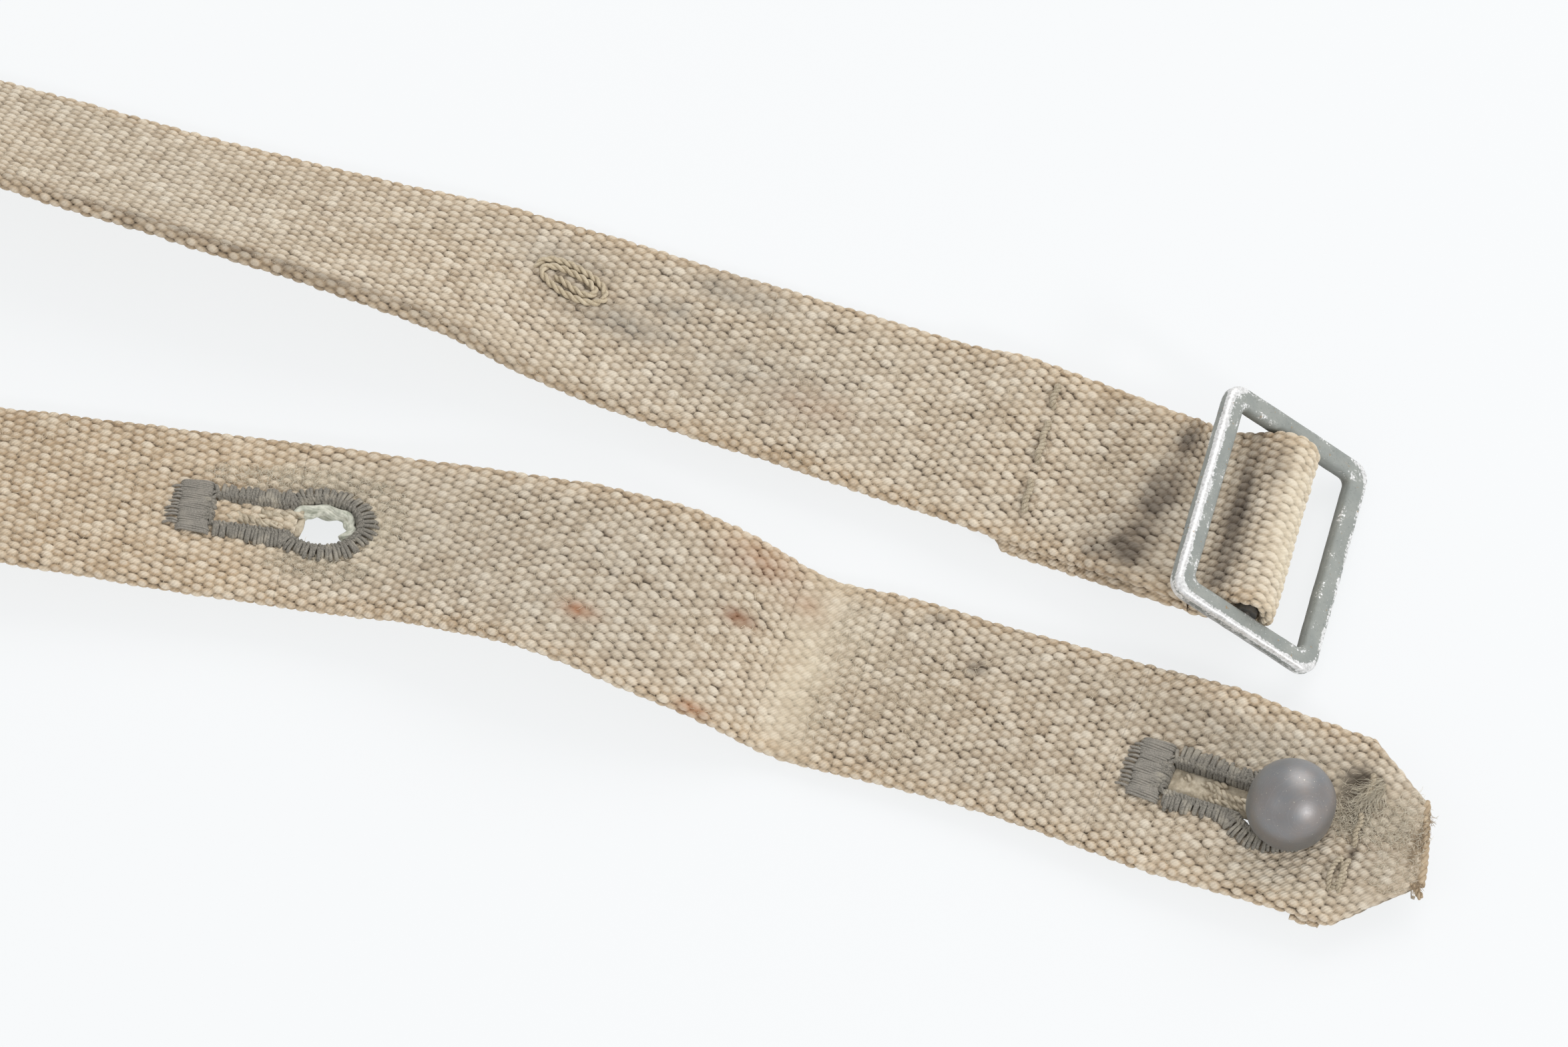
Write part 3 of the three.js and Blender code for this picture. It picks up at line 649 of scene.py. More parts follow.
def along_fold():
    """The fold's path round the bar, in the plane across the bar, as an arc-length table."""
    slope = math.radians(FOLD_SLOPE)
    start = np.array(FOLD_START)
    back = 2 * HALF_THICKNESS + GAP
    end = start + back * np.array([math.sin(slope), -math.cos(slope)])
    angles = np.radians([112, 88, 64, 40, 16, -8, -32, -56, -80, -98])
    arc = FOLD_RADIUS * np.column_stack([np.cos(angles), np.sin(angles)])
    rise = math.radians(18)
    lead = start + 3.2 * np.array([math.cos(rise), math.sin(rise)])
    points = np.vstack([start, lead, arc, [(-4.5, -2.85)], end])
    curve = centripetal(points, np.linspace(0, 1, 2001))
    return lengths_along(curve), curve, unit(np.gradient(curve, axis=0))


FOLD_ALONG, FOLD_CURVE, FOLD_FORWARD = along_fold()
FOLD_LENGTH = FOLD_ALONG[-1]


def on_fold(along, across, off_face):
    """Points of the layout on the turn round the bar; along is negative there."""
    place = read_off(-along, FOLD_ALONG, FOLD_CURVE)
    ahead = read_off(-along, FOLD_ALONG, FOLD_FORWARD)
    x = place[..., 0] - ahead[..., 1] * off_face
    z = place[..., 1] + ahead[..., 0] * off_face
    local = np.stack([x, -across, z], axis=-1)
    return local @ FOLD_TURN.T + BUCKLE_CENTRE


def on_tail(along, across, off_face):
    """Points of the layout on the tail, which is folded back under the strap."""
    under = 2 * HALF_THICKNESS + GAP
    sheared = along + along / TAIL_LENGTH * SEAM_SLANT * (across - HALF_WIDTH)
    return on_strap(sheared, across + TAIL_DRIFT * along, off_face - under)


def on_turn_under(along, across, off_face):
    """Points of the layout on the layer that is turned under at the tip."""
    return on_strap(along, across, 0.7 * off_face + HALF_THICKNESS + GAP + 0.8)


# ---- node materials
def srgb(red, green, blue):
    """A colour for a shader from the usual 0 to 255 values."""
    values = np.array([red, green, blue]) / 255
    linear = np.where(values <= 0.04045, values / 12.92, ((values + 0.055) / 1.055) ** 2.4)
    return (*linear, 1.0)


class Nodes:
    """A material's node tree, with short ways to add the nodes used here."""

    def __init__(self, name):
        self.material = bpy.data.materials.new(name)
        self.material.use_nodes = True
        self.tree = self.material.node_tree
        self.shader = self.tree.nodes["Principled BSDF"]

    def add(self, kind, inputs=(), **settings):
        made = self.tree.nodes.new(kind)
        for key, value in settings.items():
            setattr(made, key, value)
        for key, value in dict(inputs).items():
            self.put(made.inputs[key], value)
        return made

    def put(self, socket, value):
        if isinstance(value, bpy.types.NodeSocket):
            self.tree.links.new(value, socket)
        else:
            socket.default_value = value

    def maths(self, operation, a, b):
        return self.add("ShaderNodeMath", {0: a, 1: b}, operation=operation).outputs[0]

    def times(self, a, b):
        return self.maths("MULTIPLY", a, b)

    def plus(self, a, b):
        return self.maths("ADD", a, b)

    def mix(self, share, a, b, blend="MIX"):
        made = self.add("ShaderNodeMix", {0: share, 6: a, 7: b}, data_type="RGBA", blend_type=blend)
        return made.outputs[2]

    def layered(self, colour, *layers):
        """A colour with others laid over it in turn; each layer is its share and its colour."""
        for share, tone in layers:
            colour = self.mix(share, colour, srgb(*tone))
        return colour

    def ramp(self, value, *stops):
        """A colour ramp: each stop is a position and a grey or a colour."""
        made = self.add("ShaderNodeValToRGB", {0: value})
        elements = made.color_ramp.elements
        while len(elements) < len(stops):
            elements.new(0.5)
        for element, (position, colour) in zip(elements, stops):
            element.position = position
            element.color = colour if isinstance(colour, tuple) else (colour, colour, colour, 1)
        return made.outputs[0]

    def attribute(self, name):
        made = self.add("ShaderNodeAttribute", attribute_name=name)
        split = self.add("ShaderNodeSeparateColor", {0: made.outputs["Color"]})
        return (*split.outputs, made.outputs["Alpha"])

    def on_object(self):
        return self.add("ShaderNodeTexCoord").outputs["Object"]

    def noise(self, place, scale, detail=3.0, roughness=0.55):
        inputs = {"Vector": place, "Scale": scale, "Detail": detail, "Roughness": roughness}
        return self.add("ShaderNodeTexNoise", inputs).outputs[0]

    def mapped(self, place, scale=(1, 1, 1), turn=0.0):
        inputs = {"Vector": place, "Scale": scale, "Rotation": (0, 0, turn)}
        return self.add("ShaderNodeMapping", inputs).outputs[0]

    def bump(self, height, strength, distance, normal=None):
        inputs = {"Height": height, "Strength": strength, "Distance": distance}
        if normal is not None:
            inputs["Normal"] = normal
        return self.add("ShaderNodeBump", inputs).outputs[0]

    def finish(self, colour, roughness, normal, **constants):
        self.put(self.shader.inputs["Base Color"], colour)
        self.put(self.shader.inputs["Roughness"], roughness)
        self.put(self.shader.inputs["Normal"], normal)
        for name, value in constants.items():
            self.shader.inputs[name.replace("_", " ")].default_value = value
        return self.material


# A float's colours from its darkest tint to its palest: position on the ramp, and colour.
COOL_TINTS = [(0.0, (190, 176, 156)), (0.35, (203, 190, 170)), (0.8, (211, 199, 180)), (1.0, (222, 212, 195))]
TAN_TINTS = [(0.0, (188, 162, 130)), (0.4, (203, 180, 150)), (0.8, (212, 191, 163)), (1.0, (224, 207, 182))]


def clean_yarn(n, tint, warm):
    """Each float's own tint, between a cool and a tan cotton."""
    cool, tan = (
        n.ramp(tint, *[(position, srgb(*tone)) for position, tone in tints])
        for tints in (COOL_TINTS, TAN_TINTS)
    )
    return n.mix(n.times(warm, 0.9), cool, tan)


def webbing_material():
    """Worn cotton yarn: tinted floats, painted shade and some dirt in the gaps, painted highlights on the
    float tops, twisted fibres, stains and pale worn places.
    """
    n = Nodes("worn_webbing")
    height, tint, warm, _ = n.attribute("weave")
    soil_and_shade, rust, pale, grey = n.attribute("wear")
    place = n.add("ShaderNodeUVMap", uv_map="cloth").outputs[0]
    fibres = n.noise(n.mapped(place, (1.1, 9.0, 1), 0.35), 1.0, 4, 0.65)
    specks = n.noise(n.mapped(place, (3.0, 3.6, 1)), 1.0, 3, 0.6)
    twist = {"Scale": 0.72, "Distortion": 1.0, "Detail": 2.0, "Detail Scale": 2.0}
    twist["Vector"] = n.mapped(place, (1, 1, 1), 0.75)
    ply = n.add("ShaderNodeTexWave", twist).outputs[1]
    patches = n.noise(n.mapped(place, (0.09, 0.12, 1)), 1.0, 4, 0.6)
    patchy = (n.ramp(patches, (0.35, 0.0), (0.75, 0.4)), (180, 160, 132))
    colour = n.layered(clean_yarn(n, tint, warm), patchy)
    streaks = n.ramp(fibres, (0.25, 0.70), (0.5, 1.0), (0.75, 1.16))
    colour = n.mix(0.75, colour, streaks, "MULTIPLY")
    colour = n.layered(
        colour,
        (n.ramp(ply, (0.0, 0.22), (0.3, 0.0)), (128, 112, 92)),
        (n.ramp(specks, (0.62, 0.0), (0.75, 0.45)), (232, 222, 204)),
        (n.ramp(specks, (0.25, 0.5), (0.36, 0.0)), (120, 98, 74)),
        # painted shade, partly dirt: the lower the weave between the floats, the darker
        (n.ramp(height, (0.0, 0.9), (0.3, 0.66), (0.55, 0.22), (0.76, 0.0)), (76, 63, 49)),
        # painted highlight: the tops of the floats lighter
        (n.ramp(height, (0.76, 0.0), (0.96, 0.42)), (236, 227, 210)),
        (n.times(pale, 0.6), (229, 218, 194)),
        (n.times(grey, 0.62), (138, 134, 126)),
        (n.times(rust, 0.85), (158, 98, 56)),
        # dark marks: dirt and stains, with painted shade in the frayed pit, the tip's stitching gap and
        # beside the buckle's bar
        (n.times(soil_and_shade, 0.8), (72, 61, 51)),
    )
    rough = n.plus(n.times(fibres, 0.7), n.times(ply, 0.5))
    normal = n.bump(rough, 0.8, 0.00016)
    normal = n.bump(specks, 0.35, 0.0001, normal)
    return n.finish(colour, 0.93, normal, Sheen_Weight=0.12, Sheen_Roughness=0.6, Specular_IOR_Level=0.2)


# ---- floor and light
def make_floor(low):
    size = 6.0
    corners = [(-size, -size, low), (size, -size, low), (size, size, low), (-size, size, low)]
    floor = new_mesh("floor", corners, [(0, 1, 2, 3)], smooth=False)
    n = Nodes("floor_paper")
    place = n.on_object()
    grain = n.noise(place, 900.0, 2)
    faint = n.times(grain, 0.02)
    colour = n.mix(faint, srgb(110, 110, 111), srgb(104, 104, 106))
    glow = n.mix(faint, srgb(226, 228, 229), (0.7, 0.7, 0.7, 1))
    n.put(n.shader.inputs["Emission Color"], glow)
    n.shader.inputs["Emission Strength"].default_value = 1.0
    floor.data.materials.append(n.finish(colour, 0.95, n.bump(grain, 0.02, 0.0001), Specular_IOR_Level=0.1))


def make_lamp(name, direction, distance, size, watts, colour):
    data = bpy.data.lights.new(name, "AREA")
    data.shape = "DISK"
    data.size = size
    data.energy = watts
    data.color = colour
    lamp = bpy.data.objects.new(name, data)
    toward = Vector(direction).normalized()
    lamp.location = Vector(to_row((0, 0, 0))) + toward * distance
    lamp.rotation_mode = "QUATERNION"
    lamp.rotation_quaternion = toward.to_track_quat("Z", "Y")
    bpy.context.scene.collection.objects.link(lamp)


def make_world(strength):
    world = bpy.data.worlds.new("studio")
    world.use_nodes = True
    background = world.node_tree.nodes["Background"]
    background.inputs["Color"].default_value = (1.0, 1.0, 1.0, 1)
    background.inputs["Strength"].default_value = strength
    bpy.context.scene.world = world


def make_studio():
    make_floor(cad_low[2] - 0.0005)
    make_lamp("key", (0.45, 0.75, 0.9), 1.6, 1.3, 11.8, (1.0, 0.99, 0.97))
    make_lamp("low_front", (0.62, -0.68, 0.5), 1.2, 0.2, 4.4, (1.0, 1.0, 1.0))
    make_lamp("fill", (-0.9, -0.6, 0.9), 1.8, 1.0, 2.0, (0.97, 0.98, 1.0))
    make_world(0.7)
    bpy.context.scene.view_settings.view_transform = "Standard"


# ---- the webbing's pieces
FINE, COARSE = 0.26, 0.5  # distance between rings, where the webbing is seen and where it isn't
UPPER_END, BEND_END = 245, 810
CREASE_HALF = 6.5
TIP_PIECE = LENGTH - 48
TIP_END = LENGTH - 0.95


def make_run(label, start, end, count, step, material, nodes, body="strap", cut=None, holes=()):
    """A stretch of webbing as several closed pieces laid end to end."""
    stops = np.linspace(start, end, count + 1)
    for k in range(count):
        low, high = stops[k], stops[k + 1]
        inside = [eye for eye in holes if low < eye[0] < high]
        piece = cloth(f"{label}_{k + 1}", low, high, step, on_strap, cut, inside, tucked=cut is None)
        finish_piece(piece, body, material, "webbing", *nodes)


def make_webbing():
    material = webbing_material()
    make_run("upper_cloth", 0, UPPER_END, 4, FINE, material, ("webbing_upper_run",))
    make_run("bend_cloth", UPPER_END, BEND_END, 4, COARSE, material, ("webbing_bend",))
    before, after = CREASE - CREASE_HALF, CREASE + CREASE_HALF
    make_run("lower_cloth", BEND_END, before, 2, FINE, material, ("webbing_lower_run",), holes=[KEYHOLE_1])
    crease = cloth("crease_cloth", before, after, FINE, on_strap)
    crease.data.materials.append(material)
    ends = on_strap(np.array([before, after]), 0, 0)
    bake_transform(crease)
    make_run("flap_cloth", after, TIP_PIECE, 1, FINE, material, ("webbing_end_flap",), "end_flap")
    make_run("tip_cloth", TIP_PIECE, TIP_END, 1, FINE, material, ("webbing_end_flap",), "end_flap",
             lambda along: tip_cut(along, 0.0), [KEYHOLE_2])
    fold = cloth("fold_cloth", -FOLD_LENGTH, 0, FINE, on_fold)
    finish_piece(fold, "strap", material, "webbing", "webbing_buckle_fold")
    tail = cloth("tail_cloth", 0, TAIL_LENGTH, FINE, on_tail, tail_cut, tucked=False)
    finish_piece(tail, "strap", material, "webbing", "webbing_tail")
    under = cloth("turn_under_cloth", LENGTH - 17, LENGTH - 1.5, FINE, on_turn_under,
                  lambda along: tip_cut(along, 1.3), tucked=False)
    finish_piece(under, "end_flap", material, "webbing", "webbing_tip_turnunder")


# ---- tubes and yarns
def tubes(paths, radii, sides=6):
    """Tubes with tapered ends along many paths of the same length: their points and faces."""
    paths = np.asarray(paths, float)
    count, stations, _ = paths.shape
    radii = np.broadcast_to(radii, (count, stations)).copy()
    radii[:, [0, -1]] *= 0.08
    tangent = unit(np.gradient(paths, axis=1))
    side = np.empty_like(paths)
    helper = np.where(np.abs(tangent[:, :1, 2]) < 0.9, [[0, 0, 1.0]], [[1.0, 0, 0]])
    side[:, 0] = unit(np.cross(tangent[:, 0], helper))
    for k in range(1, stations):
        before, ahead = side[:, k - 1], tangent[:, k]
        side[:, k] = unit(before - ahead * (before * ahead).sum(-1, keepdims=True))
    other = np.cross(side, tangent)
    angle = np.arange(sides) / sides * 2 * math.pi
    ring = np.cos(angle)[:, None] * side[:, :, None] + np.sin(angle)[:, None] * other[:, :, None]
    points = paths[:, :, None] + radii[:, :, None, None] * ring
    first = np.arange(count)[:, None, None] * stations * sides
    faces = (tube_faces(stations, sides)[None] + first).reshape(-1, 4)
    return points.reshape(-1, 3), faces


def resample(points, step):
    """A smooth curve through the points with one point every step of its length."""
    points = np.asarray(points, float)
    curve = centripetal(points, np.linspace(0, 1, 40 * len(points)))
    along = lengths_along(curve)
    at = np.linspace(0, along[-1], max(4, int(along[-1] / step)))
    return read_off(at, along, curve)


def plies(path, radius, count, pitch, phase=0.0):
    """The centre lines of the plies of a twisted yarn along a path."""
    tangent = unit(np.gradient(path, axis=0))
    side = unit(np.cross(tangent, [0.12, 0.2, 1.0]))
    other = np.cross(tangent, side)
    along = lengths_along(path)
    lines = []
    for k in range(count):
        angle = (2 * math.pi * (along / pitch + k / count) + phase)[:, None]
        lines.append(path + 0.5 * radius * (np.cos(angle) * side + np.sin(angle) * other))
    return np.array(lines)


def joined(parts):
    """Several (points, faces) pairs as one."""
    starts = np.cumsum([0] + [len(points) for points, _ in parts])
    faces = [faces + start for (_, faces), start in zip(parts, starts)]
    return np.vstack([points for points, _ in parts]), np.vstack(faces)


def tube_piece(name, parts, body, material, slot, *nodes):
    """One piece made of several (points, faces) pairs of the layout."""
    points, faces = joined(parts)
    return finish_piece(new_mesh(name, to_row(points), faces), body, material, slot, *nodes)


def yarn(name, paths, radius, body, material, slot, *nodes, count=2, pitch=1.3):
    """One piece made of twisted yarns along smooth paths of the layout."""
    parts = []
    for k, path in enumerate(paths):
        lines = plies(resample(path, 0.11), radius, count, pitch, 1.7 * k)
        parts.append(tubes(lines, 0.58 * radius, 9))
    return tube_piece(name, parts, body, material, slot, *nodes)


def thread_material(name, tones, fuzz=0.35):
    """Sewing thread: fine fibres between dark and light, and worn places."""
    dark, light, worn = (srgb(*tone) for tone in tones)
    n = Nodes(name)
    place = n.on_object()
    fine = n.noise(place, 5200.0, 3, 0.6)
    broad = n.noise(place, 420.0, 3, 0.6)
    colour = n.mix(n.ramp(fine, (0.3, 0.0), (0.7, 1.0)), dark, light)
    colour = n.mix(n.ramp(broad, (0.5, 0.0), (0.72, fuzz + 0.3)), colour, worn)
    return n.finish(colour, 0.9, n.bump(fine, 0.6, 0.00006), Sheen_Weight=0.1, Specular_IOR_Level=0.2)


# ---- the sewing
SEAM_FROM = 28.4
SEAM_STITCHES = [(-11, -7.7), (-5, 1.2), (4.6, 9.3)]  # where each stitch starts and ends across the strap
SEAM_DEPTH = 2.5  # from the seam's upper stitches to those under the tail
TIP_SEAM_FROM_TIP = 12
TIP_STITCHES = [(-8.6, -5.2), (-2.4, 2.2), (4.8, 9.4)]
TACK_ROUTE = [  # along and across from the tack's middle, and height over the cloth
    (-5.6, 0.9, -0.6), (-5.5, -0.4, 0.1), (-4.6, -1.6, 0.25), (-2.5, -2.35, 0.3), (0, -2.5, 0.3),
    (2.6, -2.25, 0.3), (4.7, -1.3, 0.25), (5.5, 0.1, 0.25), (4.7, 1.5, 0.3), (2.6, 2.35, 0.3),
    (0, 2.55, 0.3), (-2.3, 2.3, 0.35), (-4.0, 1.55, 0.4), (-4.5, 0.5, 0.35), (-3.9, -0.5, 0.3),
    (-2.1, -1.15, 0.3), (0.2, -1.3, 0.3), (2.6, -1.05, 0.3), (3.9, -0.1, 0.3), (3.2, 0.95, 0.3),
    (1.2, 1.2, 0.35), (-1.2, 0.85, 0.4), (-2.4, 0.3, -0.4),
]
SURFACE = 1.08  # height of the float tops over the cloth's middle
GREY_THREAD = [(146, 134, 114), (190, 178, 156), (210, 198, 176)]  # dark, light and worn
TACK_THREAD = [(168, 154, 130), (206, 192, 166), (216, 204, 180)]


def stitch(face, along_of, start, end):
    """The path of one stitch across the strap, diving into the cloth at both ends."""
    share = np.linspace(-0.08, 1.08, 16)
    across = start + (end - start) * share
    dive = np.exp(-((share + 0.08) / 0.07) ** 2) + np.exp(-((1.08 - share) / 0.07) ** 2)
    sag = 0.14 * np.sin(across * 2.1 + start)
    return on_strap(along_of(across) + sag, across, face * (SURFACE + 0.3 - 1.4 * dive))


def seam_along(across):
    return SEAM_FROM + SEAM_SLANT * (across + 11)


def tip_seam_along(across):
    return np.full_like(across, LENGTH - TIP_SEAM_FROM_TIP) + 0.05 * across


def tack_path():
    """The thread loop on the upper face, turned a little on the strap."""
    route = np.array(TACK_ROUTE)
    turn = math.radians(TACK_TURN)
    along = TACK_ALONG - route[:, 0] * math.cos(turn) + route[:, 1] * math.sin(turn)
    across = TACK_ACROSS + route[:, 0] * math.sin(turn) + route[:, 1] * math.cos(turn)
    return on_strap(along, across, SURFACE + route[:, 2])


def tip_loop_path():
    """The loose loop at the end of the tip's stitching."""
    along = LENGTH + np.array([-12.6, -13.2, -13.4, -12.8, -12.0, -11.9, -12.4])
    across = np.array([4.5, 5.6, 7.8, 9.6, 8.6, 6.6, 5.0])
    return on_strap(along, across, -(SURFACE + np.array([0.1, 0.3, 0.35, -0.5, 0.3, 0.4, 0.0])))


def make_sewing():
    grey = thread_material("grey_thread", GREY_THREAD)
    seam = [stitch(1, seam_along, a, b) for a, b in SEAM_STITCHES]
    normal = strap_frame(np.array([SEAM_FROM]))[3]
    under = [stitch(-1, seam_along, a, b) - SEAM_DEPTH * normal for a, b in SEAM_STITCHES]
    yarn("seam_stitches", seam + under, 0.5, "strap", grey, "sewing_thread", "seam_thread")
    tan = thread_material("tack_thread", TACK_THREAD)
    yarn("tack_yarn", [tack_path()], 0.5, "strap", tan, "sewing_thread", "thread_tack", pitch=2.9)
    tip = [stitch(-1, tip_seam_along, a, b) for a, b in TIP_STITCHES]
    yarn("tip_stitches", tip + [tip_loop_path()], 0.42, "end_flap", grey, "sewing_thread", "tip_stitching")


# ---- the keyholes
EDGING_THREAD = [(98, 95, 89), (152, 147, 137), (186, 178, 162)]  # dark, light and worn
BAR_TACK_THREAD = [(118, 114, 107), (156, 151, 142), (170, 163, 152)]
LOOP_SPACING, PURL_SPACING = 0.47, 0.12
BLOCK_THREADS = 30
BLOCK_HALF = 4.35  # half the bar tack's width across the strap
BLOCK_MIDDLE = -18.3  # along, from the eye's middle
FILL_HALF = 1.35  # how far yarn ends reach across a slot
LOOP_PROFILE = [  # a buttonhole loop: how far into the cloth, and how far off its middle
    (2.75, 0.7), (2.55, 1.3), (1.9, 1.55), (1.15, 1.6), (0.55, 1.4), (0.22, 0.9), (0.18, 0.0),
    (0.22, -0.9), (0.55, -1.4), (1.15, -1.6), (1.9, -1.55), (2.55, -1.3), (2.75, -0.7),
]


def keyhole_outline(spacing):
    """Stations along the opening: place (along, across) from the eye's middle, and the way into the cloth."""
    turn = math.acos(SLOT_HALF / EYE_WIDE)
    angle = np.linspace(math.pi / 2 + turn, -math.pi / 2 - turn, 400)
    arc = np.column_stack([EYE_LONG * np.cos(angle), EYE_WIDE * np.sin(angle)])
    slot = np.linspace(SLOT_START, arc[0, 0], 200)[:, None]
    top = np.vstack([[SLOT_START, 0.1], np.hstack([slot, np.full_like(slot, SLOT_HALF)])])
    line = np.vstack([top, arc[1:-1], (top * [1, -1])[::-1]])
    length = lengths_along(line)
    at = np.arange(spacing / 2, length[-1], spacing)
    place, ahead, behind = (read_off(at + shift, length, line) for shift in (0, 0.3, -0.3))
    tangent = unit(ahead - behind)
    return place, np.column_stack([-tangent[:, 1], tangent[:, 0]])


def edging_loops(eye, seed):
    """The buttonhole loops round one opening, in pairs, with uneven ends and some worn away."""
    place, inward = keyhole_outline(LOOP_SPACING)
    number = np.arange(len(place))
    profile = resample([(d, h, 0) for d, h in LOOP_PROFILE], 0.33)[:, :2]
    reach = 0.82 + 0.3 * scatter(number, 0, seed) + 0.1 * np.sin(number * 0.21 + seed)
    paired = np.where(number % 2 == 0, 0.06, -0.06) + 0.1 * (scatter(number, 1, seed) - 0.5)
    lean = 0.3 * (scatter(number, 2, seed) - 0.5) + 0.12 * np.sin(number * 0.33)
    tangent = np.column_stack([inward[:, 1], -inward[:, 0]])
    depth = profile[None, :, 0] * np.where(profile[None, :, 0] > 0.6, reach[:, None], 1)
    side = paired[:, None] + lean[:, None] * np.clip(depth - 0.4, 0, None) * 0.35
    flat = place[:, None] + inward[:, None] * depth[..., None] + tangent[:, None] * side[..., None]
    lift = profile[None, :, 1] * (1 + 0.06 * (scatter(number, 3, seed)[:, None] - 0.5))
    paths = on_strap(eye[0] + flat[..., 0], eye[1] + flat[..., 1], lift)
    return tubes(paths, 0.27 + 0.05 * scatter(number, 4, seed)[:, None], 7)


def edging_purl(eye, face, into, radius, phase):
    """The knotted ridge of the buttonhole stitch, a hard-twisted cord near the opening's rim."""
    place, inward = keyhole_outline(PURL_SPACING)
    along = np.arange(len(place)) * PURL_SPACING
    depth = into + 0.14 * np.sin(along * 7.2 + phase)
    lift = face * (1.52 + 0.13 * np.cos(along * 7.2 + phase))
    flat = place + inward * depth[:, None]
    path = on_strap(eye[0] + flat[:, 0], eye[1] + flat[:, 1], lift)
    return tubes(plies(path, radius * 1.15, 2, 0.95, phase), radius * 0.62, 7)


def satin_block(eye, seed):
    """The bar tack: threads along the strap, side by side, wrapped over both faces."""
    number = np.arange(BLOCK_THREADS)
    across = np.linspace(-BLOCK_HALF, BLOCK_HALF, BLOCK_THREADS) + 0.09 * (scatter(number, 0, seed) - 0.5)
    share = np.linspace(0, 2 * math.pi, 49)
    reach = 2.3 + 0.35 * (scatter(number, 1, seed) - 0.5) + 0.15 * np.sin(number * 0.5)
    rounded = 1 / (np.abs(np.cos(share)) ** 5 + np.abs(np.sin(share)) ** 5) ** 0.2
    along = BLOCK_MIDDLE + reach[:, None] * (np.cos(share) * rounded)[None] + 0.04 * across[:, None]
    off = 1.5 * (np.sin(share) * rounded)[None] * (1 + 0.05 * scatter(number, 2, seed)[:, None])
    crown = 0.16 * np.cos(across / 4.6 * math.pi / 2)[:, None] * np.sign(off)
    bow = 0.1 * np.sin(share * 2 + number[:, None])
    paths = on_strap(eye[0] + along, eye[1] + across[:, None] + bow, off + crown)
    return tubes(paths, 0.19 + 0.03 * scatter(number, 3, seed)[:, None], 7)


def end_knots(eye, seed):
    """Short dark threads that hold the far end of the bar tack."""
    number = np.arange(11)
    across = -3.2 + 0.65 * number
    start = -21.8 - 0.9 * scatter(number, 0, seed)
    share = np.linspace(0, 1, 9)
    along = start[:, None] + (-20.1 - start)[:, None] * share
    wander = 0.5 * (scatter(number, 1, seed)[:, None] - 0.5) * share
    off = -(0.75 + 0.75 * np.sin(share * math.pi * 0.9))[None] + 0 * along
    return tubes(on_strap(eye[0] + along, eye[1] + across[:, None] + wander, off), 0.22, 6)


def make_keyhole(number, eye, body, edging, tack):
    """The buttonhole stitching round one keyhole and the bar tack at its slot's end."""
    parts = [edging_loops(eye, 10 * number)]
    for face in (1, -1):
        parts.append(edging_purl(eye, face, 0.62, 0.34, 0.3 * number))
        parts.append(edging_purl(eye, face, 1.05, 0.24, 2 + number))
    stitches, node = f"buttonhole_stitch_{number}", f"keyhole_{number}_edging"
    tube_piece(stitches, parts, body, edging, "edging_thread", node)
    parts = [satin_block(eye, 20 * number), end_knots(eye, 30 * number)]
    bar, node = f"satin_bar_{number}", f"keyhole_{number}_bar_tack"
    tube_piece(bar, parts, body, tack, "edging_thread", node)


def slot_filling(eye, start, end, count, seed, level):
    """Paths of the frayed yarn ends that fill a slot, from start to end along it."""
    number = np.arange(count)
    share = np.linspace(0, 1, 8)
    low = start + (end - start) * 0.55 * scatter(number, 0, seed)
    high = low + 3.5 + 4.5 * scatter(number, 1, seed)
    along = low[:, None] + (np.minimum(high, end) - low)[:, None] * share
    across = FILL_HALF * (2 * scatter(number, 2, seed)[:, None] - 1)
    across = across + 0.5 * np.sin(share * 5 + 6 * number[:, None])
    across = np.clip(across, -FILL_HALF, FILL_HALF)
    off = level - 0.55 * scatter(number, 3, seed)[:, None] - 0.3 * np.sin(share * 4 + number[:, None])
    return on_strap(eye[0] + along, eye[1] + across, -off)


def slot_patch(eye, start, end, level, seed):
    """A lumpy closed patch of felted fibres across a slot, as points and faces."""
    rows, columns = 90, 28
    along = np.linspace(start, end, rows)[:, None] + np.zeros(columns)
    turn = np.arange(columns) / columns * 2 * math.pi
    narrow = np.minimum(1, np.minimum(along - start, end - along) / 0.5 + 0.3)
    across = 2.2 * np.cos(turn) * narrow
    lumps = cloudy(along / 1.5, across / 1.1, seed) * 0.5 + 0.14 * cloudy(along / 0.4, across / 0.3, seed + 3)
    off = level + (0.45 + lumps) * np.where(np.sin(turn) > 0, np.sin(turn), 0.5 * np.sin(turn)) * narrow
    return on_strap(eye[0] + along, eye[1] + across, -off).reshape(-1, 3), tube_faces(rows, columns)


def eye_lining(eye):
    """Paths of the frayed fibres that line the far and right side of an eye."""
    angle = np.radians(np.linspace(-158, 38, 26))
    paths = []
    for k, off in enumerate((0.85, 0.4, -0.1, -0.6)):
        grow = -0.55 - 0.5 * (k == 1) + 0.25 * np.sin(angle * 7 + k)
        along = (EYE_LONG + grow) * np.cos(angle)
        across = (EYE_WIDE + grow) * np.sin(angle)
        paths.append(on_strap(eye[0] + along, eye[1] + across, -(off + 0.2 * np.sin(angle * 5 + 2 * k))))
    return paths


def filled_slot(name, eye, end, level, seed, body, material):
    """The frayed filling of one slot: a felted patch with yarn ends on it."""
    parts = [slot_patch(eye, SLOT_START - 0.3, end, level, seed)]
    for k, path in enumerate(slot_filling(eye, SLOT_START + 0.4, end - 0.3, 9, seed, level + 0.75)):
        parts.append(tubes(plies(resample(path, 0.11), 0.5, 2, 2.2, k), 0.3, 8))
    return tube_piece(name, parts, body, material, "webbing")


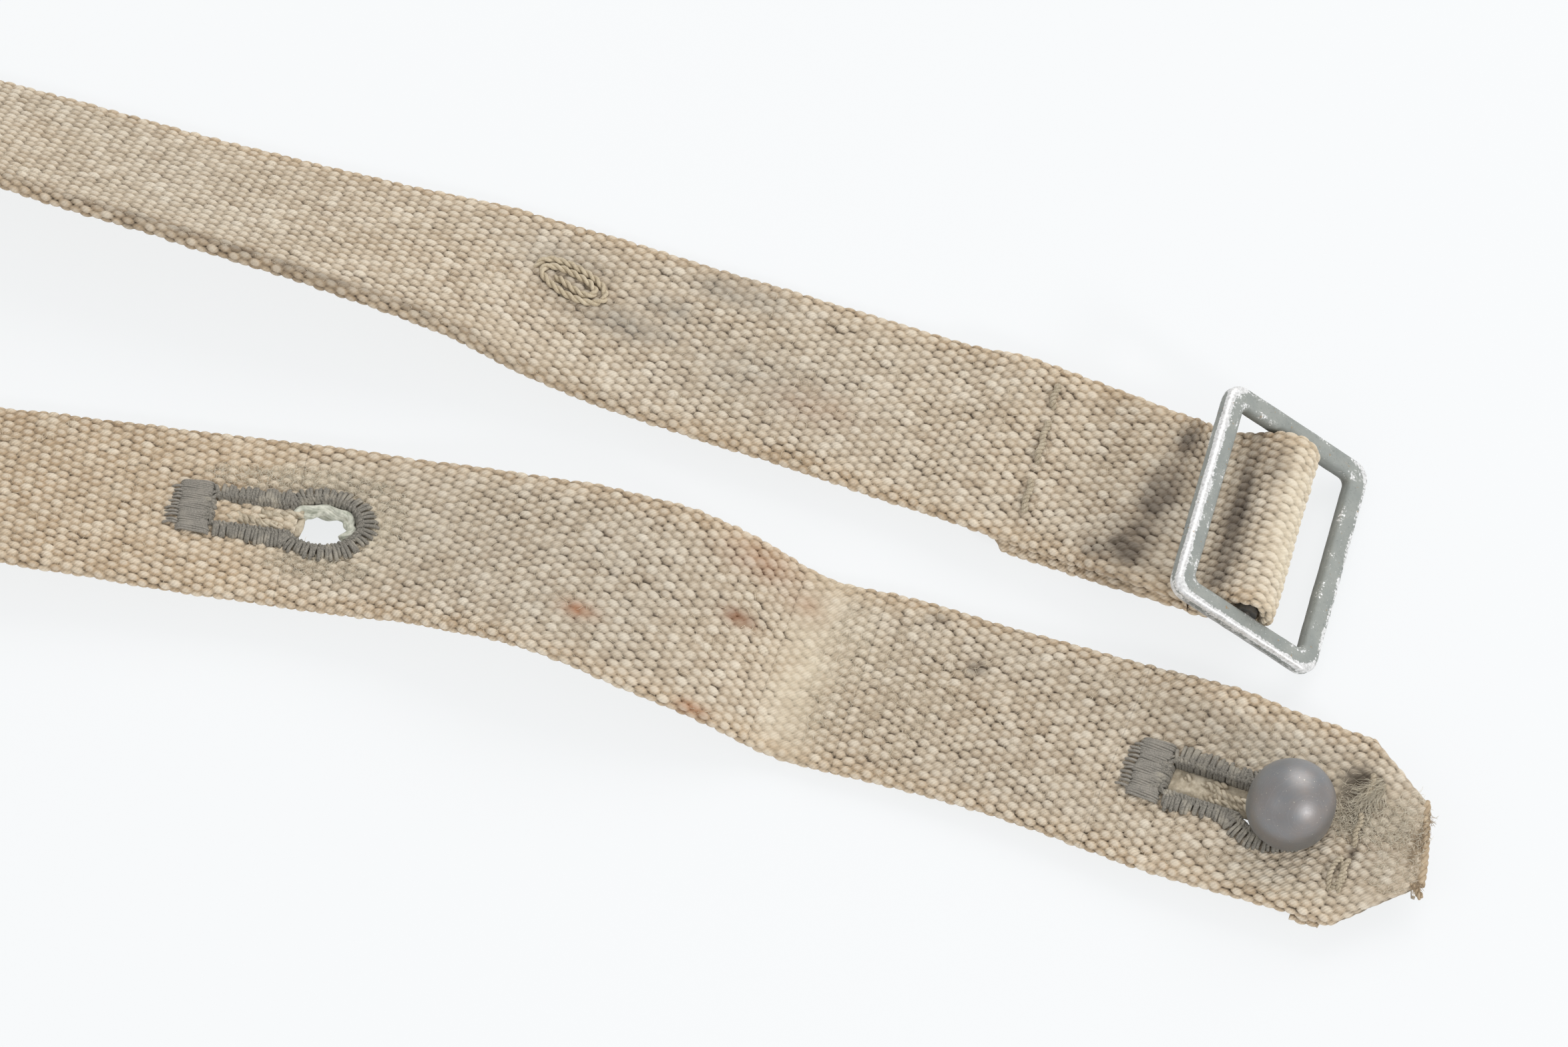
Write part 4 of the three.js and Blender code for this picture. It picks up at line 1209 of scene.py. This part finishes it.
def make_fillings():
    cream = fibre_material("slot_cream", (150, 137, 116), (214, 203, 182))
    green = fibre_material("eye_lining", (160, 164, 148), (226, 225, 212))
    filled_slot("slot_fill_1", KEYHOLE_1, -2.6, 0.15, 81, "strap", cream)
    yarn("eye_lining_1", eye_lining(KEYHOLE_1), 0.52, "strap", green, "webbing", count=6, pitch=11.0)
    fill = filled_slot("slot_fill_2", KEYHOLE_2, 0.1, -0.1, 84, "end_flap", cream)
    ends = to_row(on_strap(KEYHOLE_2[0] + np.array([SLOT_START, 0.1]), KEYHOLE_2[1], 0))
    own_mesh(fill)


def make_keyholes():
    edging = thread_material("edging_thread", EDGING_THREAD)
    tack = thread_material("bar_tack_thread", BAR_TACK_THREAD, fuzz=0.15)
    make_keyhole(1, KEYHOLE_1, "strap", edging, tack)
    make_keyhole(2, KEYHOLE_2, "end_flap", edging, tack)


# ---- the buckle frame
def rounded_path(half_x, half_y, corner):
    """A rounded rectangle whose corners and sides have fixed numbers of points."""
    points = []
    for quarter, (sx, sy) in enumerate([(1, 1), (-1, 1), (-1, -1), (1, -1)]):
        centre = np.array([sx * (half_x - corner), sy * (half_y - corner)])
        angle = math.pi / 2 * (quarter + np.linspace(0, 1, 13))
        points.append(centre + corner * np.column_stack([np.cos(angle), np.sin(angle)]))
    ring = []
    for quarter in range(4):
        this, following = points[quarter], points[(quarter + 1) % 4]
        ring.append(this)
        share = np.linspace(0, 1, 92)[1:-1, None]
        ring.append(this[-1] * (1 - share) + following[0] * share)
    return np.vstack(ring)


def bar_section():
    """Round the bar's section: share from the inner edge, height, and how sharp the place is."""
    bevel, half = 0.7, BAR_THICKNESS / 2
    places = []
    corners = [(BAR_WIDTH - bevel, half - bevel), (bevel, half - bevel)]
    corners += [(bevel, bevel - half), (BAR_WIDTH - bevel, bevel - half)]
    for quarter, (x, z) in enumerate(corners):
        for angle in math.pi / 2 * (quarter + np.linspace(0, 1, 7)):
            places.append((x + bevel * math.cos(angle), z + bevel * math.sin(angle), 1.0))
        wide = quarter % 2 == 0
        gap = BAR_WIDTH - 2 * bevel if wide else BAR_THICKNESS - 2 * bevel
        x_end, z_end = places[-1][:2]
        way = [(-1, 0), (0, -1), (1, 0), (0, 1)][quarter]
        for share in (0.25, 0.5, 0.75):
            places.append((x_end + way[0] * gap * share, z_end + way[1] * gap * share, 0.0))
    return np.array(places)


def make_buckle():
    """The buckle's frame: one uneven ring of the bar's section, with its wear, a painted highlight on the
    right bar's outer edge and a darker underside painted on.
    """
    half_x, half_y = BUCKLE_SPAN / 2, BUCKLE_LENGTH / 2
    outer = rounded_path(half_x, half_y, OUTER_CORNER)
    inner = rounded_path(half_x - BAR_WIDTH, half_y - BAR_WIDTH, 1.1)
    section = bar_section()
    share = section[:, 0] / BAR_WIDTH
    flat = inner[:, None] * (1 - share)[:, None] + outer[:, None] * share[:, None]
    height = section[None, :, 1] + 0 * flat[..., 0]
    local = np.dstack([flat, height])
    uneven = cloudy(local[..., 0] / 5, local[..., 1] / 5, 71)
    dents = cloudy(local[..., 0] / 1.3 + 9 * share, local[..., 1] / 1.3, 72)
    middle = (inner + outer)[:, None] / 2
    away = local - np.dstack([middle[..., 0], middle[..., 1], 0 * middle[..., 0]])
    local = local + away * (0.035 * uneven + 0.02 * dents)[..., None]
    points = (local.reshape(-1, 3) @ BUCKLE_TURN.T) + BUCKLE_CENTRE
    frame_piece = new_mesh("buckle_ring", to_row(points), closed_ring_faces(len(outer), len(section)))
    x, y, z = local.reshape(-1, 3).T
    sharp = np.tile(section[:, 2], len(outer))
    left = np.exp(-(((x + half_x - 0.3) / 1.5) ** 2)) * smoothstep(z, -0.1, 0.8) * 1.25
    near = smoothstep(-y, half_y - 1.3, half_y - 0.2)
    corners = np.exp(-((np.abs(x) - half_x + 1) ** 2 + (np.abs(y) - half_y + 1) ** 2) / 5)
    # the right bar's outer edge: worn bare, brightened further as a painted highlight
    right = np.exp(-(((x - half_x) / 0.9) ** 2)) * 0.6
    rubbed_and_highlit = np.clip(np.maximum.reduce([left, near, 1.1 * corners, right]), 0, 1.3)
    # darker on the frame's lower half, except on the side bars' outer parts
    underside_darkening = smoothstep(np.abs(x), half_x - BAR_WIDTH + 0.6, half_x - BAR_WIDTH) * smoothstep(z, 0.6, -0.6)
    paint(frame_piece, "wear", np.column_stack([sharp, rubbed_and_highlit, underside_darkening]))
    finish_piece(frame_piece, "buckle", buckle_material(), "buckle_paint", "buckle_frame")


def closed_ring_faces(stations, columns):
    """Faces of a tube that closes on itself."""
    faces = tube_faces(stations + 1, columns)
    return faces % (stations * columns)


def buckle_material():
    """Grey-green paint worn to bright metal on ridges and corners, with a painted highlight on the right
    bar's outer edge, chips, scratches, rust and a darker underside.
    """
    n = Nodes("worn_buckle_paint")
    sharp, rubbed_and_highlit, underside_darkening, _ = n.attribute("wear")
    place = n.on_object()
    fine = n.noise(place, 2600.0, 3, 0.65)
    broad = n.noise(place, 330.0, 4, 0.6)
    scratch = n.noise(n.mapped(place, (0.25, 1.0, 1.0), 0.4), 3800.0, 2, 0.5)
    colour = n.mix(n.ramp(broad, (0.3, 0.0), (0.7, 1.0)), srgb(132, 137, 134), srgb(150, 153, 148))
    colour = n.mix(n.ramp(fine, (0.30, 0.35), (0.42, 0.0)), colour, srgb(92, 96, 92))
    exposed = n.plus(n.times(sharp, 0.26), n.times(rubbed_and_highlit, 0.42))
    for uneven, strength in ((broad, 0.9), (fine, 0.8)):
        exposed = n.plus(exposed, n.times(n.maths("SUBTRACT", uneven, 0.5), strength))
    bare = n.ramp(exposed, (0.38, 0.0), (0.5, 1.0))
    chips = n.ramp(scratch, (0.70, 0.0), (0.74, 0.8))
    bare = n.maths("MAXIMUM", bare, chips)
    metal = n.mix(n.ramp(fine, (0.35, 0.0), (0.65, 1.0)), srgb(196, 196, 195), srgb(238, 238, 238))
    specks = n.ramp(n.noise(place, 1500.0, 2, 0.4), (0.70, 0.0), (0.76, 0.8))
    colour = n.mix(bare, colour, metal)
    # rust specks, and the frame darker towards its underside
    colour = n.layered(colour, (specks, (150, 122, 82)), (n.times(underside_darkening, 0.6), (84, 84, 78)))
    n.put(n.shader.inputs["Metallic"], n.times(bare, 0.35))
    rough = n.maths("SUBTRACT", 0.62, n.times(bare, 0.24))
    normal = n.bump(n.plus(n.times(bare, -0.5), fine), 0.35, 0.00008)
    return n.finish(colour, rough, normal)


# ---- the stud
def stud_frame():
    """The stud's foot and its turning from upright."""
    origin, _, across, _ = strap_frame(np.array([LENGTH - STUD_FROM_TIP]))
    foot = origin[0] + across[0] * KEYHOLE_2_ACROSS
    turn = Vector((0, 0, 1)).rotation_difference(Vector(STUD_AXIS)).to_matrix()
    return foot, np.array(turn)


def stud_profile():
    """The head from its socket round the rim and up over the dome, as radius and height."""
    socket, rim = 1.7, 0.5
    top = HEAD_FROM + 3
    low = [(0.02, top), (socket, top), (socket, HEAD_FROM + 0.02), (socket + 0.1, HEAD_FROM)]
    under = [(radius, HEAD_FROM) for radius in np.linspace(2.4, HEAD_RADIUS - rim, 8)]
    corner = [
        (HEAD_RADIUS - rim + rim * math.sin(a), HEAD_FROM + rim - rim * math.cos(a))
        for a in np.linspace(0.2, math.pi / 2, 6)
    ]
    wall = [(HEAD_RADIUS, height) for height in np.linspace(HEAD_FROM + 0.9, HEAD_FROM + HEAD_SKIRT, 8)]
    dome = []
    for angle in np.linspace(0.03, math.pi / 2 - 0.004, 90):
        radius = HEAD_RADIUS * math.cos(angle)
        dome.append((radius, HEAD_FROM + HEAD_SKIRT + DOME_HEIGHT * math.sin(angle)))
    return np.array(low + under + corner + wall + dome)


def make_stud():
    foot, turn = stud_frame()
    profile = stud_profile()
    sides = 128
    angle = np.arange(sides) / sides * 2 * math.pi
    radius = profile[:, :1] * (1 + 0.0025 * np.sin(3 * angle) + 0.0015 * np.sin(7 * angle + 1))
    local = np.dstack([radius * np.cos(angle), radius * np.sin(angle), profile[:, 1:] + 0 * angle])
    points = local.reshape(-1, 3) @ turn.T + foot
    faces = tube_faces(len(profile), sides)[:, ::-1]
    head = new_mesh("turned_head", to_row(points), faces)
    material = gunmetal_material(to_row(marks_middle(foot, turn)))
    finish_piece(head, "stud_top", material, "gunmetal", "stud_head")


def coat_plain_metal():
    """The looks of the metal parts whose CAD meshes are kept."""
    plain = plain_metal()
    for name in ("stud_neck", "stud_base", "buckle_middle_bar"):
        node = bpy.data.objects[name]
        node.data.materials.clear()
        node.data.materials.append(plain)


def marks_middle(foot, turn):
    """Where the turning marks on the dome are centred, towards the camera's right."""
    return foot + turn @ np.array([1.6, -3.4, HEAD_FROM + HEAD_SKIRT + 4.6])


def gunmetal_material(middle):
    """Dull turned gunmetal: fine rings, a paler and bluer rim painted as a highlight, brownish patches,
    specks and a fleck.
    """
    n = Nodes("turned_gunmetal")
    place = n.on_object()
    fine = n.noise(place, 2400.0, 4, 0.65)
    broad = n.noise(place, 240.0, 4, 0.6)
    offset = n.add("ShaderNodeVectorMath", {0: place, 1: tuple(middle)}, operation="SUBTRACT").outputs[0]
    distance = n.add("ShaderNodeVectorMath", {0: offset}, operation="LENGTH").outputs["Value"]
    wobble = n.times(n.noise(place, 500.0, 2), 0.0009)
    wavering = n.add("ShaderNodeCombineXYZ", {0: n.plus(distance, wobble)}).outputs[0]
    rings = n.noise(wavering, 3600.0, 3, 0.7)
    colour = n.mix(n.ramp(broad, (0.35, 0.0), (0.65, 1.0)), srgb(142, 136, 133), srgb(134, 135, 137))
    specks = n.noise(place, 3400.0, 2, 0.5)
    colour = n.layered(
        colour,
        (n.ramp(rings, (0.3, 0.3), (0.5, 0.0)), (128, 127, 128)),
        (n.ramp(rings, (0.55, 0.0), (0.75, 0.25)), (180, 179, 178)),
        # painted highlight: paler and bluer towards the rim, away from the marks' middle
        (n.ramp(n.times(distance, 90.0), (0.55, 0.0), (0.95, 0.55)), (150, 155, 158)),
        (n.ramp(specks, (0.69, 0.0), (0.74, 0.8)), (196, 190, 178)),
    )
    rough = n.plus(0.36, n.times(fine, 0.22))
    height = n.plus(n.times(rings, 0.8), n.times(fine, 0.5))
    n.shader.inputs["Metallic"].default_value = 0.75
    return n.finish(colour, rough, n.bump(height, 0.22, 0.00003))


def plain_metal():
    """Dull bar and rivet metal, stained and slightly pitted."""
    n = Nodes("dull_metal")
    place = n.on_object()
    fine = n.noise(place, 2200.0, 4, 0.65)
    broad = n.noise(place, 300.0, 3, 0.6)
    colour = n.mix(n.ramp(broad, (0.35, 0.0), (0.65, 1.0)), srgb(112, 110, 106), srgb(140, 138, 132))
    colour = n.mix(n.ramp(fine, (0.58, 0.0), (0.7, 0.7)), colour, srgb(128, 100, 72))
    n.shader.inputs["Metallic"].default_value = 0.7
    return n.finish(colour, n.plus(0.38, n.times(fine, 0.25)), n.bump(fine, 0.3, 0.00006))


# ---- loose fibres
def hairs(name, spots, face, body, material, seed, thickness=0.026):
    """Loose fibres on the cloth.

    Each spot is along, across, half lengths of the patch both ways, how many, fibre length, lean in
    degrees, the spread of the lean in degrees, and how high the fibres stand.
    """
    paths = []
    share = np.linspace(0, 1, 7)
    for k, (a, v, long, wide, count, length, lean, spread, rise) in enumerate(spots):
        number = np.arange(count)
        random = [scatter(number, column, seed + 13 * k) for column in range(9)]
        radial = np.sqrt(random[0])
        turn = 2 * math.pi * random[1]
        along = a + long * radial * np.cos(turn)
        across = v + wide * radial * np.sin(turn)
        open_1, open_2 = (inside_keyhole(along, across, eye, 0.4) for eye in (KEYHOLE_1, KEYHOLE_2))
        clear = ~(open_1 | open_2)
        along, across, random = along[clear], across[clear], [column[clear] for column in random]
        angle = np.radians(lean + spread * (2 * random[2] - 1))
        reach = length * (0.4 + 1.1 * random[3])
        bend = (random[4] - 0.5)[:, None] * 1.6 * share
        du = reach[:, None] * share * np.cos(angle[:, None] + bend)
        dv = reach[:, None] * share * np.sin(angle[:, None] + bend)
        wave = 0.12 * np.sin(share * (4 + 5 * random[5][:, None]) + 6 * random[6][:, None])
        off = SURFACE - 0.25 + rise * random[7][:, None] * np.sin(share * (1.6 + 1.5 * random[8][:, None]))
        place = (along[:, None] + du, across[:, None] + dv + wave * share, face * (off + 0.12))
        paths.append(on_strap(*place))
    tube_piece(name, [tubes(np.vstack(paths), thickness, 3)], body, material, "webbing")


def fibre_material(name, dark, light):
    """Loose cotton, between a dark and a light colour."""
    n = Nodes(name)
    tone = n.noise(n.on_object(), 900.0, 3, 0.6)
    colour = n.mix(n.ramp(tone, (0.3, 0.0), (0.7, 1.0)), srgb(*dark), srgb(*light))
    return n.finish(colour, 0.9, n.bump(tone, 0.2, 0.00005), Specular_IOR_Level=0.2)


EDGE_FIBRES = 13.2  # across, where the fibres of a selvedge start


def edge_spots(start, end, side, count, length=0.6):
    """Patches of fibres along one selvedge."""
    stops = np.linspace(start, end, 12)
    half = (stops[1] - stops[0]) / 1.6
    middles = stops[1:] / 2 + stops[:-1] / 2
    return [(a, side * EDGE_FIBRES, half, 0.5, count, length, 50 * side, 120, 0.15) for a in middles]


def make_fibres():
    cream = fibre_material("cream_fibre", (196, 182, 158), (228, 217, 196))
    brown = fibre_material("tan_fibre", (150, 131, 107), (192, 174, 148))
    white = fibre_material("white_fibre", (198, 188, 168), (226, 218, 200))
    upper = [(64, 0, 52, 12, 900, 1.2, 0, 180, 0.4), (175, 0, 70, 12, 1300, 1.2, 0, 180, 0.5)]
    upper += edge_spots(30, 245, 1, 40)
    hairs("upper_fibres", upper, 1, "strap", cream, 101)
    lower = [(850, 0, 40, 12, 900, 1.2, 0, 180, 0.5), (925, 0, 32, 12, 800, 1.2, 0, 180, 0.5)]
    lower += edge_spots(812, 955, 1, 35)
    hairs("lower_fibres", lower, -1, "strap", cream, 202)
    eye = KEYHOLE_1[0]
    halo = [
        (eye + 7.5, -2.5, 5.0, 5.5, 600, 1.2, -60, 120, 0.5),
        (eye - 1, -7.2, 9.0, 2.2, 700, 1.2, -80, 90, 0.5),
        (eye + 1, 7.2, 8.0, 2.2, 500, 1.1, 80, 90, 0.5),
        (eye - 11, -6.4, 7.0, 1.8, 350, 1.0, -80, 90, 0.5),
    ]
    hairs("keyhole_halo", halo, -1, "strap", white, 303)
    flap = [(1010, 0, 40, 12, 1500, 1.1, 0, 180, 0.5), (CREASE + 14, 0, 7, 13, 500, 1.3, 0, 180, 0.5)]
    flap += edge_spots(972, 1040, 1, 18)
    hairs("flap_fibres", flap, -1, "end_flap", cream, 404)
    pit_along, pit_across = PIT[:2]
    pit = [
        (pit_along + 2.6, pit_across - 1.6, 1.2, 1.8, 260, 3.6, 118, 18, 1.3),
        (pit_along + 1.2, pit_across - 0.6, 0.8, 1.6, 80, 3.0, 105, 20, 0.6),
        (pit_along + 0.8, pit_across + 4.4, 3.2, 1.8, 300, 2.2, 150, 110, 0.9),
        (pit_along + 5.5, pit_across + 3.0, 3.6, 3.4, 300, 1.5, 60, 150, 0.6),
        (LENGTH - 6, 0, 4.0, 8.0, 420, 1.1, 0, 180, 0.4),
        (CREASE + 3, 0, 4.0, 12.0, 300, 1.1, 0, 180, 0.4),
    ]
    hairs("pit_fibres", pit, -1, "end_flap", white, 505, 0.028)
    tip = [
        (LENGTH - 3.2, -1.5, 0.8, 4.6, 220, 0.8, 80, 120, 0.2),
        (LENGTH - 1.9, 4.9, 0.4, 0.6, 90, 1.1, 50, 40, 0.1),
    ]
    hairs("tip_fibres", tip, -1, "end_flap", brown, 606, 0.03)
    make_tip_yarns(brown)


def make_tip_yarns(brown):
    """The rolled edge of the frayed tip, and the short tag of yarn at its corner."""
    edge_along = LENGTH - np.array([4.4, 3.3, 2.3, 1.5, 1.1])
    edge_across = np.array([-7.6, -4.2, -0.8, 2.4, 4.6])
    rolled = on_strap(edge_along, edge_across, 0.1)
    tag_along = LENGTH - np.array([2.4, 1.5, 0.9, 0.3])
    tag_across = np.array([4.4, 5.0, 5.7, 6.1])
    tags = [on_strap(tag_along, tag_across + shift, -0.2 - shift) for shift in (0.0, 0.45)]
    yarn("tip_roll", [rolled, rolled + [0, 0, 0.6]], 0.62, "end_flap", brown, "webbing", count=3, pitch=3.2)
    yarn("tip_tag", tags, 0.4, "end_flap", brown, "webbing", pitch=1.4)


make_webbing()
make_sewing()
make_keyholes()
make_fillings()
make_buckle()
make_stud()
coat_plain_metal()
make_fibres()
make_studio()
